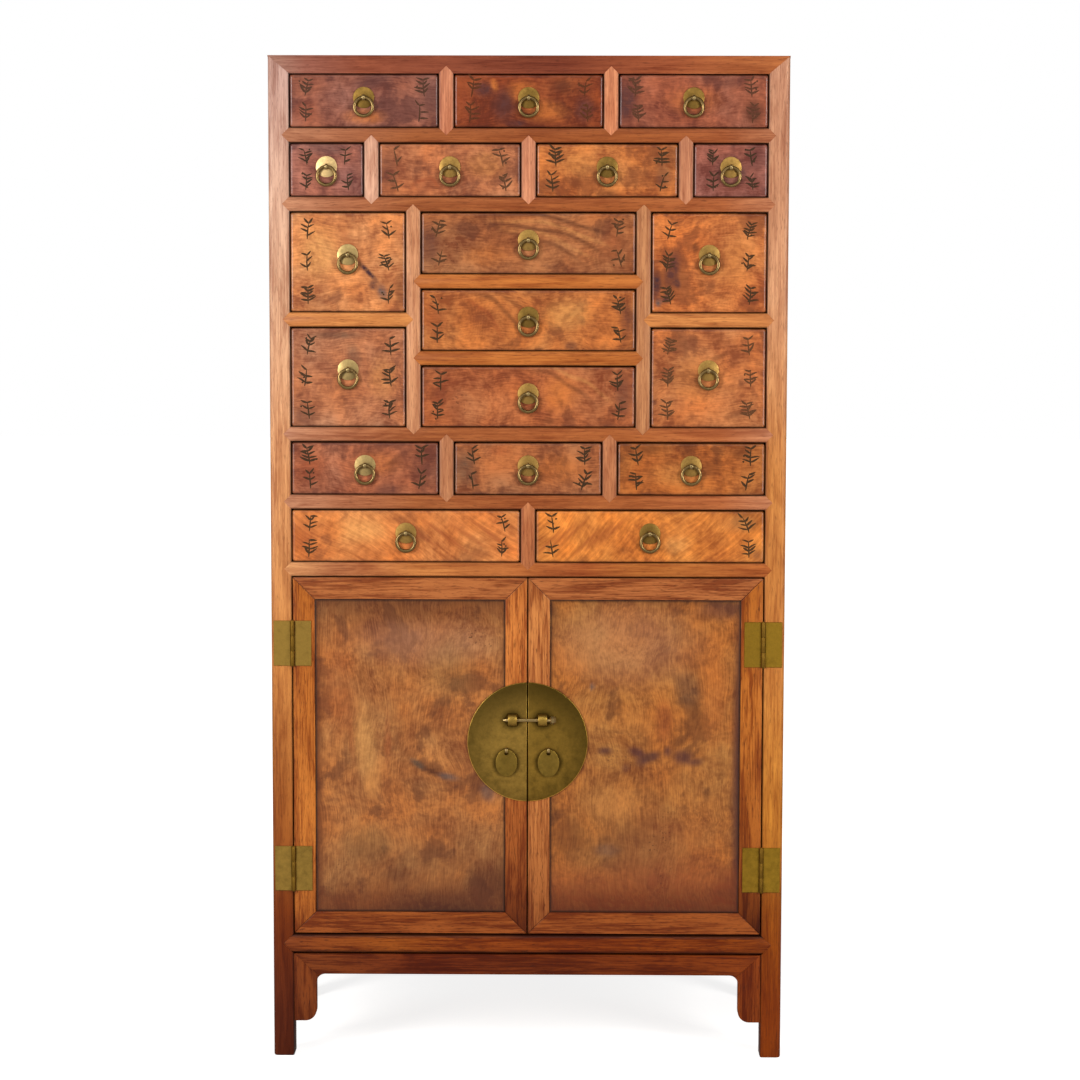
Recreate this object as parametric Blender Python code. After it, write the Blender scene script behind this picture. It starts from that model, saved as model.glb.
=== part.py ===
"""A tall apothecary chest: nineteen small drawers over a two-door cupboard, in flush-sided frame joinery.

Sizes are in metres. The front faces -Y, +Z is up, and the chest stands on Z = 0. Shapes are laid out from the
plane of the front (Y = 0 there), and the parent empty sets that plane back so that the chest is centred.
"""

import math

import bmesh
import bpy
from mathutils import Matrix, Vector

# The case
HEIGHT = 1.830
WIDTH = 0.936
DEPTH = 0.460
POST = 0.038
POST_ROUND = 0.003
TOP_RAIL = 0.032
TOP_MEMBER = 0.060
TOP_PANEL = 0.012
TOP_PANEL_INSET = 0.001
RAIL = 0.027
RAIL_DEPTH = 0.030
BOTTOM_RAIL = 0.038
PANEL = 0.010
PANEL_INSET = 0.004
PANEL_TONGUE = 0.006
BOARD = 0.010
BOARD_TONGUE = 0.006
FLOOR = 0.012
PARTITION = 0.012
GUIDE_HEIGHT = 0.015
BEARER = 0.015
GAP = 0.0003

# The pointed shoulders and tenons that join rails and stiles
SHOULDER = 0.010
TENON = 0.009
TENON_SETBACK = 0.003
TENON_MARGIN = 0.004
TENON_LENGTH = 0.016
STILE_TENON = 0.011

# The apron between the legs
LEG_CLEAR = 0.154
APRON = 0.038
APRON_THICK = 0.018
APRON_SETBACK = 0.002
SPANDREL = 0.041
SPANDREL_DROP = 0.088
APRON_FILLET = 0.016
SPANDREL_ROUND = 0.021
ARC_STEPS = 5
ROD_SIDES = 14
FINE_SIDES = 10

# The drawers
ROW = 0.096
BLOCK = 0.387
SMALL_WIDTH = 0.134
SIDE_WIDTH = 0.209
DRAWER_LENGTH = 0.400
DRAWER_FRONT = 0.020
DRAWER_WALL = 0.010
DRAWER_BOTTOM = 0.008
DRAWER_ROUND = 0.002
DRAWER_SIDE_GAP = 0.0012
DRAWER_TOP_GAP = 0.0015
DRAWER_BOX_DROP = 0.008

# The ring pulls
PULL_PLATE_R = 0.019
PULL_PLATE = 0.002
PULL_PLATE_SIDES = 20
RING_R = 0.0164
RING_WIRE = 0.0031
RING_STEPS = 16
RING_SIDES = 6
RING_CLEAR = 0.0005
EYE_CLEAR = 0.0006
EYE_WALL = 0.0016
EYE_WIDTH = 0.005
PULL_RAISE = 0.005
TALL_PULL_RAISE = 0.013

# The doors and their hinges
DOOR = 0.024
DOOR_MEMBER = 0.040
DOOR_GAP = 0.0016
DOOR_MEETING = 0.002
DOOR_PANEL_INSET = 0.0015
DOOR_PANEL = 0.012
DOOR_GROOVE = 0.007
DOOR_TONGUE = 0.005
DOOR_TONGUE_BACK = 0.005
HINGE_HEIGHT = 0.083
HINGE_LEAF = 0.034
HINGE_PLATE = 0.002
HINGE_BARREL_R = 0.0036
HINGE_PIN_R = 0.0014
HINGE_RUN = 0.0004
HINGE_MARGIN = 0.081

# The lock: a round plate split between the doors, two knuckles, a pin and two hanging pulls
LOCK_R = 0.110
LOCK_PLATE = 0.002
LOCK_SIDES = 56
LOCK_ABOVE_FLOOR = 0.589
KNUCKLE_ABOVE = 0.041
KNUCKLE_X = 0.0275
KNUCKLE_WIDTH = 0.015
KNUCKLE_R = 0.008
KNUCKLE_FOOT = 0.033
KNUCKLE_FOOT_THICK = 0.0012
PIN_R = 0.0032
PIN_RUN = 0.0004
PIN_HEAD = (0.012, 0.0088, 0.014)
PIN_HEAD_ROUND = 0.0015
PIN_SHANK = 0.080
PIN_TIP = 0.005
DROP_X = 0.0385
DROP_BELOW = 0.015
DROP_WIDTH = 0.0395
DROP_HEIGHT = 0.0515
DROP_THICK = 0.003
DROP_SIDES = 24
DROP_BAR = 0.005
DROP_HOLE = (0.008, 0.0064)
DROP_EYE_WIDTH = 0.0045
DROP_CLEAR = 0.0005

# How far the brass stands out from the front
PULL_OUT = PULL_PLATE + RING_CLEAR + RING_WIRE
EYE_BORE = RING_WIRE + EYE_CLEAR
LOCK_FACE = GAP + LOCK_PLATE
PIN_OUT = LOCK_FACE + DROP_CLEAR + PIN_HEAD[1] / 2
DROP_SWEEP = math.hypot(DROP_BAR / 2, DROP_THICK / 2)
DROP_OUT = LOCK_FACE + DROP_CLEAR + DROP_SWEEP
DROP_EYE_BORE = DROP_SWEEP + EYE_CLEAR
HINGE_OUT = HINGE_BARREL_R + HINGE_RUN
PROUD = max(
    PULL_OUT + EYE_BORE + EYE_WALL,
    PIN_OUT + KNUCKLE_R,
    DROP_OUT + DROP_EYE_BORE + EYE_WALL,
    HINGE_OUT + HINGE_BARREL_R,
)

# Levels and limits of the case
INNER = WIDTH / 2 - POST
SIDE_INNER = DEPTH / 2 - POST
CASE_TOP = HEIGHT - TOP_RAIL
PANEL_FACE = PANEL_INSET + PANEL
BACK_FACE = DEPTH - PANEL_FACE
WING = WIDTH / 2 - PANEL_FACE - GAP
BOTTOM_RAIL_Z = (LEG_CLEAR + APRON, LEG_CLEAR + APRON + BOTTOM_RAIL)
APRON_Y = (APRON_SETBACK, APRON_SETBACK + APRON_THICK)
APRON_Z = (LEG_CLEAR, LEG_CLEAR + APRON - GAP)

# Finishes: colour, roughness, metallic
FINISHES = {
    "frame_wood": ((0.36, 0.13, 0.045, 1), 0.42, 0.0),
    "burl_drawer": ((0.40, 0.15, 0.055, 1), 0.36, 0.0),
    "burl_door": ((0.38, 0.18, 0.075, 1), 0.36, 0.0),
    "aged_brass": ((0.30, 0.22, 0.06, 1), 0.42, 1.0),
    "ring_brass": ((0.42, 0.31, 0.14, 1), 0.3, 1.0),
}


def clear_scene():
    for old in list(bpy.data.objects):
        bpy.data.objects.remove(old)


def new_collection(name):
    group = bpy.data.collections.new(name)
    bpy.context.scene.collection.children.link(group)
    return group


def make_material(name):
    colour, roughness, metallic = FINISHES[name]
    finish = bpy.data.materials.new(name)
    finish.use_nodes = True
    shader = finish.node_tree.nodes["Principled BSDF"]
    shader.inputs["Base Color"].default_value = colour
    shader.inputs["Roughness"].default_value = roughness
    shader.inputs["Metallic"].default_value = metallic
    return finish


clear_scene()
PARTS = new_collection("apothecary_chest")
CUTTERS = new_collection("joinery_tools")
MATERIALS = {name: make_material(name) for name in FINISHES}
CHEST = bpy.data.objects.new("chest_front_plane", None)
CHEST.location = (0, (PROUD - DEPTH) / 2, 0)
PARTS.objects.link(CHEST)
ORIGINS = {CHEST: Vector((0, 0, 0))}


# Shapes that go into a bmesh


def box(shape, x, y, z):
    """A closed box between pairs of limits, given in either order."""
    limits = [sorted(pair) for pair in (x, y, z)]
    low = Vector([pair[0] for pair in limits])
    high = Vector([pair[1] for pair in limits])
    place = Matrix.Translation((low + high) / 2) @ Matrix.Diagonal((*(high - low), 1))
    return bmesh.ops.create_cube(shape, size=1, matrix=place)["verts"]


def arrow(shape, x, y, z, half):
    """A square bar along Y that stands on its corner: the point of a mitred shoulder."""
    side = half * math.sqrt(2)
    turn = Matrix.Rotation(math.pi / 4, 4, "Y")
    size = Matrix.Diagonal((side, y[1] - y[0], side, 1))
    place = Matrix.Translation((x, sum(y) / 2, z)) @ turn @ size
    bmesh.ops.create_cube(shape, size=1, matrix=place)


def rod(shape, centre, radius, length, along, segments=ROD_SIDES, end_radius=None):
    """A closed cylinder, or a cone where end_radius differs, along one axis."""
    turns = {
        "X": Matrix.Rotation(math.pi / 2, 4, "Y"),
        "Y": Matrix.Rotation(-math.pi / 2, 4, "X"),
        "Z": Matrix.Identity(4),
    }
    bmesh.ops.create_cone(
        shape,
        cap_ends=True,
        segments=segments,
        radius1=radius,
        radius2=radius if end_radius is None else end_radius,
        depth=length,
        matrix=Matrix.Translation(centre) @ turns[along],
    )


def tube(shape, centre, bore, wall, length, along, segments=ROD_SIDES):
    """A closed ring: a rectangle of wall by length, spun once round the axis."""
    axis = {"X": Vector((1, 0, 0)), "Z": Vector((0, 0, 1))}[along]
    across = {"X": Vector((0, 0, 1)), "Z": Vector((1, 0, 0))}[along]
    centre = Vector(centre)
    corners = []
    for radius, end in ((bore, -0.5), (bore + wall, -0.5), (bore + wall, 0.5), (bore, 0.5)):
        corners.append(shape.verts.new(centre + across * radius + axis * end * length))
    edges = [shape.edges.new((corners[n - 1], corners[n])) for n in range(4)]
    bmesh.ops.spin(
        shape, geom=corners + edges, cent=centre, axis=axis, angle=2 * math.pi, steps=segments, use_merge=True
    )


def cut_off(shape, point, normal):
    """Cuts a shape with a plane, takes away the side that the normal points to, and closes the cut."""
    geometry = shape.verts[:] + shape.edges[:] + shape.faces[:]
    found = bmesh.ops.bisect_plane(shape, geom=geometry, plane_co=point, plane_no=normal, clear_outer=True)
    edges = [item for item in found["geom_cut"] if isinstance(item, bmesh.types.BMEdge)]
    bmesh.ops.holes_fill(shape, edges=edges)


def round_edges(shape, edges, radius, segments=2):
    bmesh.ops.bevel(
        shape, geom=edges, offset=radius, segments=segments, profile=0.5, affect="EDGES", material=-1
    )


# Objects


def new_object(name, shape, group, parent, origin):
    """An object whose origin is at a point of the front-plane frame, parented with its place kept."""
    bmesh.ops.recalc_face_normals(shape, faces=shape.faces)
    bmesh.ops.translate(shape, vec=-Vector(origin), verts=shape.verts)
    mesh = bpy.data.meshes.new(name)
    shape.to_mesh(mesh)
    shape.free()
    return link_object(name, mesh, group, parent, origin)


def link_object(name, mesh, group, parent, origin):
    made = bpy.data.objects.new(name, mesh)
    group.objects.link(made)
    made.parent = parent
    made.location = Vector(origin) - ORIGINS[parent]
    ORIGINS[made] = Vector(origin)
    return made


def joinery_tool(name, shape):
    """A hidden helper that is joined to a part or cut out of it."""
    tool = new_object(name, shape, CUTTERS, CHEST, (0, 0, 0))
    tool.hide_render = True
    tool.display_type = "WIRE"
    return tool


def apply_tools(part, tools, operation):
    for number, shape in enumerate(tools):
        modifier = part.modifiers.new(f"{operation.lower()}_{number}", "BOOLEAN")
        modifier.operation = operation
        modifier.solver = "EXACT"
        modifier.object = joinery_tool(f"{part.name}_{modifier.name}", shape)


def solid(name, finish, shape, joined=(), cut=(), parent=CHEST, origin=(0, 0, 0), smooth=False):
    """One named piece: a base shape, what is joined to it, then what is cut out of it."""
    part = new_object(name, shape, PARTS, parent, origin)
    part.data.materials.append(MATERIALS[finish])
    if smooth:
        part.data.shade_smooth()
        part.data.set_sharp_from_angle(angle=math.radians(35))
    apply_tools(part, joined, "UNION")
    apply_tools(part, cut, "DIFFERENCE")
    return part


def shape_of(*additions):
    """A bmesh holding what each addition, a function of one bmesh, puts into it."""
    shape = bmesh.new()
    for add in additions:
        add(shape)
    return shape


# Bays of the drawer case


def bays_across(widths, z):
    """Openings side by side from the left post, with a stile between neighbours."""
    left = -INNER
    bays = []
    for width in widths:
        bays.append(((left, left + width), z))
        left += width + RAIL
    return bays


def levels_down(count, top, height):
    """Openings under one another, with a rail between neighbours."""
    return [(top - n * (height + RAIL) - height, top - n * (height + RAIL)) for n in range(count)]


def even_widths(count):
    return [(2 * INNER - (count - 1) * RAIL) / count] * count


ROW_1_Z, ROW_2_Z = levels_down(2, CASE_TOP, ROW)
BLOCK_Z = (ROW_2_Z[0] - RAIL - BLOCK, ROW_2_Z[0] - RAIL)
ROW_4_Z, ROW_5_Z = levels_down(2, BLOCK_Z[0] - RAIL, ROW)
DOOR_Z = (BOTTOM_RAIL_Z[1], ROW_5_Z[0] - RAIL)
MIDDLE_WIDTH = (2 * INNER - 3 * RAIL) / 2 - SMALL_WIDTH
CENTRE_WIDTH = 2 * INNER - 2 * RAIL - 2 * SIDE_WIDTH
TALL_LEVELS = levels_down(2, BLOCK_Z[1], (BLOCK - RAIL) / 2)
CENTRE_LEVELS = levels_down(3, BLOCK_Z[1], (BLOCK - 2 * RAIL) / 3)

ROW_1 = bays_across(even_widths(3), ROW_1_Z)
ROW_2 = bays_across([SMALL_WIDTH, MIDDLE_WIDTH, MIDDLE_WIDTH, SMALL_WIDTH], ROW_2_Z)
COLUMNS = bays_across([SIDE_WIDTH, CENTRE_WIDTH, SIDE_WIDTH], BLOCK_Z)
ROW_4 = bays_across(even_widths(3), ROW_4_Z)
ROW_5 = bays_across(even_widths(2), ROW_5_Z)


def stile_limits(row):
    """The X limits of each stile between the bays of a row."""
    return [(left[0][1], right[0][0]) for left, right in zip(row, row[1:])]


# The pointed joints


def rail_end(shape, inner, side, z, grow=0.0):
    """The arrow point and tenon at one end of a rail, or the socket for them when it grows by a clearance."""
    middle = sum(z) / 2
    half = (z[1] - z[0]) / 2
    end = side * (inner - GAP)
    arrow(shape, end, (-grow, SHOULDER + grow), middle, half + grow * math.sqrt(2))
    tenon_y = (SHOULDER + TENON_SETBACK - grow, SHOULDER + TENON_SETBACK + TENON + grow)
    tenon_z = (z[0] + TENON_MARGIN - grow, z[1] - TENON_MARGIN + grow)
    tenon_x = (end - side * TENON_MARGIN, side * (inner + TENON_LENGTH + grow))
    box(shape, tenon_x, tenon_y, tenon_z)


def stile_top(shape, x, top, grow=0.0):
    """The arrow point and tenon at the top of a stile, or the socket for them."""
    middle = sum(x) / 2
    half = (x[1] - x[0]) / 2
    end = top - GAP
    arrow(shape, middle, (-grow, SHOULDER + grow), end, half + grow * math.sqrt(2))
    tenon_y = (SHOULDER + TENON_SETBACK - grow, SHOULDER + TENON_SETBACK + TENON + grow)
    tenon_x = (x[0] + TENON_MARGIN - grow, x[1] - TENON_MARGIN + grow)
    box(shape, tenon_x, tenon_y, (end - TENON_MARGIN, top + STILE_TENON + grow))


def rail_ends(shape, inner, z, grow=0.0):
    for side in (-1, 1):
        rail_end(shape, inner, side, z, grow)


def to_side(shape, side):
    """Turns a shape that was laid out as a front, so that its front is a side of the chest."""
    turn = Matrix.Rotation(side * math.pi / 2, 4, "Z")
    place = Matrix.Translation((side * WIDTH / 2, DEPTH / 2, 0)) @ turn
    bmesh.ops.transform(shape, matrix=place, verts=shape.verts)
    return shape


# Rails and boards between the rows


def rail_under(opening):
    """The Z limits of the rail under an opening."""
    return (opening[0] - RAIL, opening[0])


MID_RAILS_SIDE = [rail_under(level) for level in TALL_LEVELS[:-1]]
MID_RAILS_CENTRE = [rail_under(level) for level in CENTRE_LEVELS[:-1]]
MAIN_RAILS = [rail_under(z) for z in (ROW_1_Z, ROW_2_Z, BLOCK_Z, ROW_4_Z, ROW_5_Z)]


def board_z(rail_z):
    """A dust board lies just under the top of its rail."""
    return (rail_z[1] - GAP - BOARD, rail_z[1] - GAP)


SIDE_MID_RAIL_TOP = board_z(MAIN_RAILS[-1])[0] - GAP
SIDE_MID_RAIL_Z = (SIDE_MID_RAIL_TOP - RAIL, SIDE_MID_RAIL_TOP)
BEARER_TOPS = [board_z(z)[0] - GAP for z in MAIN_RAILS[:-1] + MID_RAILS_SIDE]
BOARD_Y = (RAIL_DEPTH - BOARD_TONGUE, BACK_FACE - GAP)
WING_Y = (POST + GAP, DEPTH - POST - GAP)


def wings(shape, z):
    """The ends of a board, a little thinner than it, between the front and rear posts."""
    for side in (-1, 1):
        box(shape, (side * (INNER - PANEL_TONGUE), side * WING), WING_Y, (z[0] + GAP, z[1] - GAP))


def guides(shape, limits, z_base):
    """Battens that keep drawers straight, standing in the board behind each stile and along each side."""
    z = (z_base - BOARD_TONGUE / 2, z_base + GUIDE_HEIGHT)
    for x in limits:
        box(shape, (x[0] + GAP, x[1] - GAP), (RAIL_DEPTH - BOARD_TONGUE / 2, BOARD_Y[1] - GAP), z)
    for side in (-1, 1):
        box(shape, (side * (INNER + GAP), side * (WING - GAP)), (WING_Y[0] + GAP, WING_Y[1] - GAP), z)


def row_frame(name, row, rail_z, below):
    """The rail and dust board under a row, with the stiles and guides between its drawers."""
    stiles = stile_limits(row)
    top = row[0][1][1]
    board = board_z(rail_z)
    rail = shape_of(lambda s: box(s, (-INNER + GAP, INNER - GAP), (0, RAIL_DEPTH), rail_z))
    uprights = bmesh.new()
    for x in stiles:
        box(uprights, x, (0, RAIL_DEPTH), (rail_z[1] - TENON_MARGIN, top - GAP))
    points = shape_of(lambda s: rail_ends(s, INNER, rail_z))
    for x in stiles:
        stile_top(points, x, top)
    middle = shape_of(lambda s: box(s, (-INNER + GAP, INNER - GAP), BOARD_Y, board))
    ends = shape_of(lambda s: wings(s, board))
    battens = shape_of(lambda s: guides(s, stiles, board[1]))
    sockets = bmesh.new()
    for x in below:
        stile_top(sockets, x, rail_z[0], GAP)
    cut = (sockets,) if below else ()
    return solid(name, "frame_wood", rail, (uprights, points, middle, ends, battens), cut)


def block_frame(name, rail_z, below):
    """The middle tier: two partitions make three columns, with boards between the drawers of each."""
    stiles = stile_limits(COLUMNS)
    partitions = [sum(x) / 2 for x in stiles]
    top = BLOCK_Z[1]
    roof = board_z(MAIN_RAILS[1])[0] - GAP
    board = board_z(rail_z)
    rail = shape_of(lambda s: box(s, (-INNER + GAP, INNER - GAP), (0, RAIL_DEPTH), rail_z))
    uprights = bmesh.new()
    for x in stiles:
        box(uprights, x, (0, RAIL_DEPTH), (rail_z[1] - TENON_MARGIN, top - GAP))
    points = shape_of(lambda s: rail_ends(s, INNER, rail_z))
    for x in stiles:
        stile_top(points, x, top)
    for z in MID_RAILS_SIDE:
        rail_ends(points, INNER, z)
    middle = shape_of(lambda s: box(s, (-INNER + GAP, INNER - GAP), BOARD_Y, board))
    ends = shape_of(lambda s: wings(s, board))
    battens = shape_of(lambda s: guides(s, stiles, board[1]))
    walls = bmesh.new()
    wall_tops = bmesh.new()
    wall_end = BOARD_Y[1] - 2 * GAP
    for x in partitions:
        limits = (x - PARTITION / 2, x + PARTITION / 2)
        wall_z = (board[1] - BOARD_TONGUE, top - 2 * GAP)
        box(walls, limits, (RAIL_DEPTH - BOARD_TONGUE / 2, wall_end), wall_z)
        limits = (limits[0] + GAP, limits[1] - GAP)
        box(wall_tops, limits, (RAIL_DEPTH + GAP, wall_end - GAP), (top - TENON_MARGIN, roof))
    rails = bmesh.new()
    shelves = bmesh.new()
    shelf_wings = bmesh.new()
    shelf_guides = bmesh.new()
    tongue = TENON_MARGIN
    shelf_y = (BOARD_Y[0], BOARD_Y[1] - 3 * GAP)
    guide_y = (RAIL_DEPTH - BOARD_TONGUE / 2, shelf_y[1] - GAP)
    for z in MID_RAILS_CENTRE:
        x = (stiles[0][1] - tongue, stiles[1][0] + tongue)
        box(rails, x, (0, RAIL_DEPTH), z)
        box(shelves, partitions, shelf_y, board_z(z))
        for stile, x_mid, side in zip(stiles, partitions, (1, -1)):
            edge = max(stile, key=lambda value: side * value) - side * GAP
            box(shelf_guides, (x_mid, edge), guide_y, guide_z(z))
    for z in MID_RAILS_SIDE:
        wings(shelf_wings, board_z(z))
        for stile, x_mid, side in zip(stiles, partitions, (-1, 1)):
            near = max(stile, key=lambda value: side * value)
            box(rails, (near - side * tongue, side * (INNER - GAP)), (0, RAIL_DEPTH), z)
            box(shelves, (x_mid, side * (INNER - GAP)), shelf_y, board_z(z))
            box(shelf_guides, (x_mid, near - side * GAP), guide_y, guide_z(z))
            outer_x = (side * (INNER + GAP), side * (WING - GAP))
            box(shelf_guides, outer_x, (WING_Y[0] + GAP, WING_Y[1] - GAP), guide_z(z))
    sockets = bmesh.new()
    for x in below:
        stile_top(sockets, x, rail_z[0], GAP)
    tier = (uprights, rails, points, middle, ends, battens)
    columns = (walls, wall_tops, shelves, shelf_wings, shelf_guides)
    return solid(name, "frame_wood", rail, tier + columns, (sockets,))


def guide_z(rail_z):
    top = board_z(rail_z)[1]
    return (top - BOARD_TONGUE / 2, top + GUIDE_HEIGHT)


# Posts, top, sides, back, floor and aprons


def post_column(shape, side, y, lift=0.0, out=0.0):
    """A post whose top is cut to two slopes, for a corner where it meets two top rails in mitres.

    lift raises the slopes and out widens the column, for the hollow that it leaves in the top."""
    front = y[0] < DEPTH / 2
    outer_y, inner_y = y if front else y[::-1]
    facing = -1 if front else 1
    outer_x = side * WIDTH / 2
    column = bmesh.new()
    foot = CASE_TOP - TOP_RAIL if out else 0.0
    column_x = (side * (INNER - out), outer_x + side * out)
    column_y = (inner_y - facing * out, outer_y + facing * out)
    box(column, column_x, column_y, (foot, HEIGHT + out))
    if not out:
        corner = Vector((outer_x, outer_y))
        edges = [e for e in column.edges if all((v.co.xy - corner).length < GAP for v in e.verts)]
        round_edges(column, edges, POST_ROUND)
    slope_x = Vector((-side * TOP_RAIL, 0, POST)).normalized()
    slope_y = Vector((0, -facing * TOP_RAIL, POST)).normalized()
    cut_off(column, Vector((side * INNER, 0, CASE_TOP)) + slope_x * lift, slope_x)
    cut_off(column, Vector((0, inner_y, CASE_TOP)) + slope_y * lift, slope_y)
    move_into(shape, column)


def move_into(shape, other):
    """Adds the geometry of one bmesh to another and frees it."""
    mesh = bpy.data.meshes.new("moved")
    other.to_mesh(mesh)
    other.free()
    shape.from_mesh(mesh)
    bpy.data.meshes.remove(mesh)


FRONT_POST_Y = (0, POST)
REAR_POST_Y = (DEPTH - POST, DEPTH)
SIDE_RAILS = (BOTTOM_RAIL_Z, SIDE_MID_RAIL_Z)
HINGE_CENTRES = [
    DOOR_Z[1] - HINGE_MARGIN - HINGE_HEIGHT / 2,
    DOOR_Z[0] + HINGE_MARGIN + HINGE_HEIGHT / 2,
]


def hinge_axis(side):
    """A point on the axis of a door's hinges: at the edge of the post, in front of the face."""
    return Vector((side * (INNER - DOOR_GAP / 2), -HINGE_OUT, 0))


def hinge_leaf(shape, side, away):
    """The leaves of one door's hinges, on the post where away points out, or on the door."""
    start = hinge_axis(side).x + away * (HINGE_BARREL_R + HINGE_RUN)
    for z in HINGE_CENTRES:
        x = (start, start + away * (HINGE_LEAF - HINGE_BARREL_R))
        box(shape, x, (-HINGE_PLATE, HINGE_PLATE), (z - HINGE_HEIGHT / 2, z + HINGE_HEIGHT / 2))


def knuckle_spans(on_post):
    """The Z limits of the knuckles on one leaf: the post has the outer two, the door has the middle one."""
    third = HINGE_HEIGHT / 3
    spans = []
    for z in HINGE_CENTRES:
        if on_post:
            spans.append((z - HINGE_HEIGHT / 2, z - third / 2 - HINGE_RUN / 2))
            spans.append((z + third / 2 + HINGE_RUN / 2, z + HINGE_HEIGHT / 2))
        else:
            spans.append((z - third / 2 + HINGE_RUN / 2, z + third / 2 - HINGE_RUN / 2))
    return spans


def hinge_tabs(shape, side, away, on_post):
    """The strips that join each leaf to its knuckles."""
    axis = hinge_axis(side).x
    wall = (HINGE_PIN_R + HINGE_RUN + HINGE_BARREL_R) / 2
    reach = HINGE_BARREL_R + 2 * HINGE_RUN
    for z in knuckle_spans(on_post):
        box(shape, (axis + away * wall, axis + away * reach), (-HINGE_PLATE, -HINGE_RUN), z)


def front_post(side, name):
    column = shape_of(lambda s: post_column(s, side, FRONT_POST_Y))
    sockets = bmesh.new()
    for z in MAIN_RAILS + MID_RAILS_SIDE + [BOTTOM_RAIL_Z]:
        rail_end(sockets, INNER, side, z, GAP)
    side_sockets = bmesh.new()
    for z in SIDE_RAILS:
        rail_end(side_sockets, SIDE_INNER, -side, z, GAP)
    to_side(side_sockets, side)
    groove = shape_of(lambda s: side_panel(s, side, GAP))
    leaves = shape_of(lambda s: hinge_leaf(s, side, side))
    tabs = shape_of(lambda s: hinge_tabs(s, side, side, True))
    knuckles = bmesh.new()
    axis = hinge_axis(side)
    for z in knuckle_spans(True):
        rod(knuckles, (axis.x, axis.y, sum(z) / 2), HINGE_BARREL_R, z[1] - z[0], "Z")
    pins = bmesh.new()
    for z in HINGE_CENTRES:
        rod(pins, (axis.x, axis.y, z), HINGE_PIN_R, HINGE_HEIGHT - 2 * HINGE_RUN, "Z", FINE_SIDES)
    joined = (leaves, tabs, knuckles, pins)
    return solid(name, "frame_wood", column, joined, (sockets, side_sockets, groove))


def side_panel(shape, side, grow=0.0):
    """The panel of a side, tongued into both posts and the top, or the groove for it."""
    x = side * (WIDTH / 2 - PANEL_INSET + grow), side * (WIDTH / 2 - PANEL_FACE - grow)
    y = (POST - PANEL_TONGUE - grow, DEPTH - POST + PANEL_TONGUE + grow)
    z = (BOTTOM_RAIL_Z[0] + PANEL_TONGUE, CASE_TOP + PANEL_TONGUE + grow)
    box(shape, x, y, z)


def apron_outline(shape, inner, y):
    """A straight apron with a spandrel down each leg, its corners rounded, as one board."""
    low = APRON_Z[0]
    end = inner - GAP
    foot = low - SPANDREL_DROP
    right = [(end - SPANDREL, low), (end - SPANDREL, foot), (end, foot), (end, APRON_Z[1])]
    outline = [(-x, z) for x, z in reversed(right)] + right
    corners = [shape.verts.new((x, y[0], z)) for x, z in outline]
    shape.faces.new(corners)
    fillets = [v for v in corners if abs(v.co.z - low) < GAP]
    rounds = [v for v in corners if abs(v.co.z - foot) < GAP and abs(v.co.x) < end - GAP]
    for found, radius in ((fillets, APRON_FILLET), (rounds, SPANDREL_ROUND)):
        bmesh.ops.bevel(
            shape, geom=found, offset=radius, segments=ARC_STEPS, profile=0.5, affect="VERTICES", material=-1
        )
    face = max(shape.faces, key=lambda f: f.calc_area())
    swept = bmesh.ops.extrude_face_region(shape, geom=[face], use_keep_orig=True)
    moved = [item for item in swept["geom"] if isinstance(item, bmesh.types.BMVert)]
    bmesh.ops.translate(shape, vec=(0, y[1] - y[0], 0), verts=moved)


def side_frame(side, name):
    """A side: its panel, the two rails that carry it, the bearers for the boards and the apron below."""
    panel = shape_of(lambda s: side_panel(s, side))
    rails = bmesh.new()
    points = bmesh.new()
    for z in SIDE_RAILS:
        box(rails, (-SIDE_INNER + GAP, SIDE_INNER - GAP), (0, RAIL_DEPTH), z)
        rail_ends(points, SIDE_INNER, z)
    bearers = bmesh.new()
    for top in BEARER_TOPS:
        x = (side * (INNER + PANEL_TONGUE), side * (WIDTH / 2 - PANEL_FACE + PANEL_TONGUE / 2))
        box(bearers, x, WING_Y, (top - BEARER, top))
    apron = shape_of(lambda s: apron_outline(s, SIDE_INNER, APRON_Y))
    tongue = bmesh.new()
    tongue_y = (APRON_Y[0] + GAP, APRON_Y[1] - GAP)
    tongue_z = (APRON_Z[1] - TENON_MARGIN, BOTTOM_RAIL_Z[0] + TENON_MARGIN)
    box(tongue, (-SIDE_INNER + TENON_MARGIN, SIDE_INNER - TENON_MARGIN), tongue_y, tongue_z)
    turned = [to_side(shape, side) for shape in (rails, points, apron, tongue)]
    return solid(name, "frame_wood", panel, (*turned, bearers))


def back_frame(name):
    """The rear posts with the back between them: two rails and a panel."""
    posts = [shape_of(lambda s, side=side: post_column(s, side, REAR_POST_Y)) for side in (-1, 1)]
    panel = bmesh.new()
    panel_x = (-INNER - PANEL_TONGUE, INNER + PANEL_TONGUE)
    panel_z = (BOTTOM_RAIL_Z[0] + PANEL_TONGUE, CASE_TOP - GAP)
    box(panel, panel_x, (BACK_FACE, DEPTH - PANEL_INSET), panel_z)
    rails = bmesh.new()
    for z in SIDE_RAILS:
        box(rails, (-INNER - TENON_MARGIN, INNER + TENON_MARGIN), (BACK_FACE + GAP, DEPTH - GAP), z)
    grooves = [shape_of(lambda s, side=side: side_panel(s, side, GAP)) for side in (-1, 1)]
    sockets = []
    for side in (-1, 1):
        ends = bmesh.new()
        for z in SIDE_RAILS:
            rail_end(ends, SIDE_INNER, side, z, GAP)
        sockets.append(to_side(ends, side))
    return solid(name, "frame_wood", posts[0], (panel, rails, posts[1]), (*grooves, *sockets))


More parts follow.
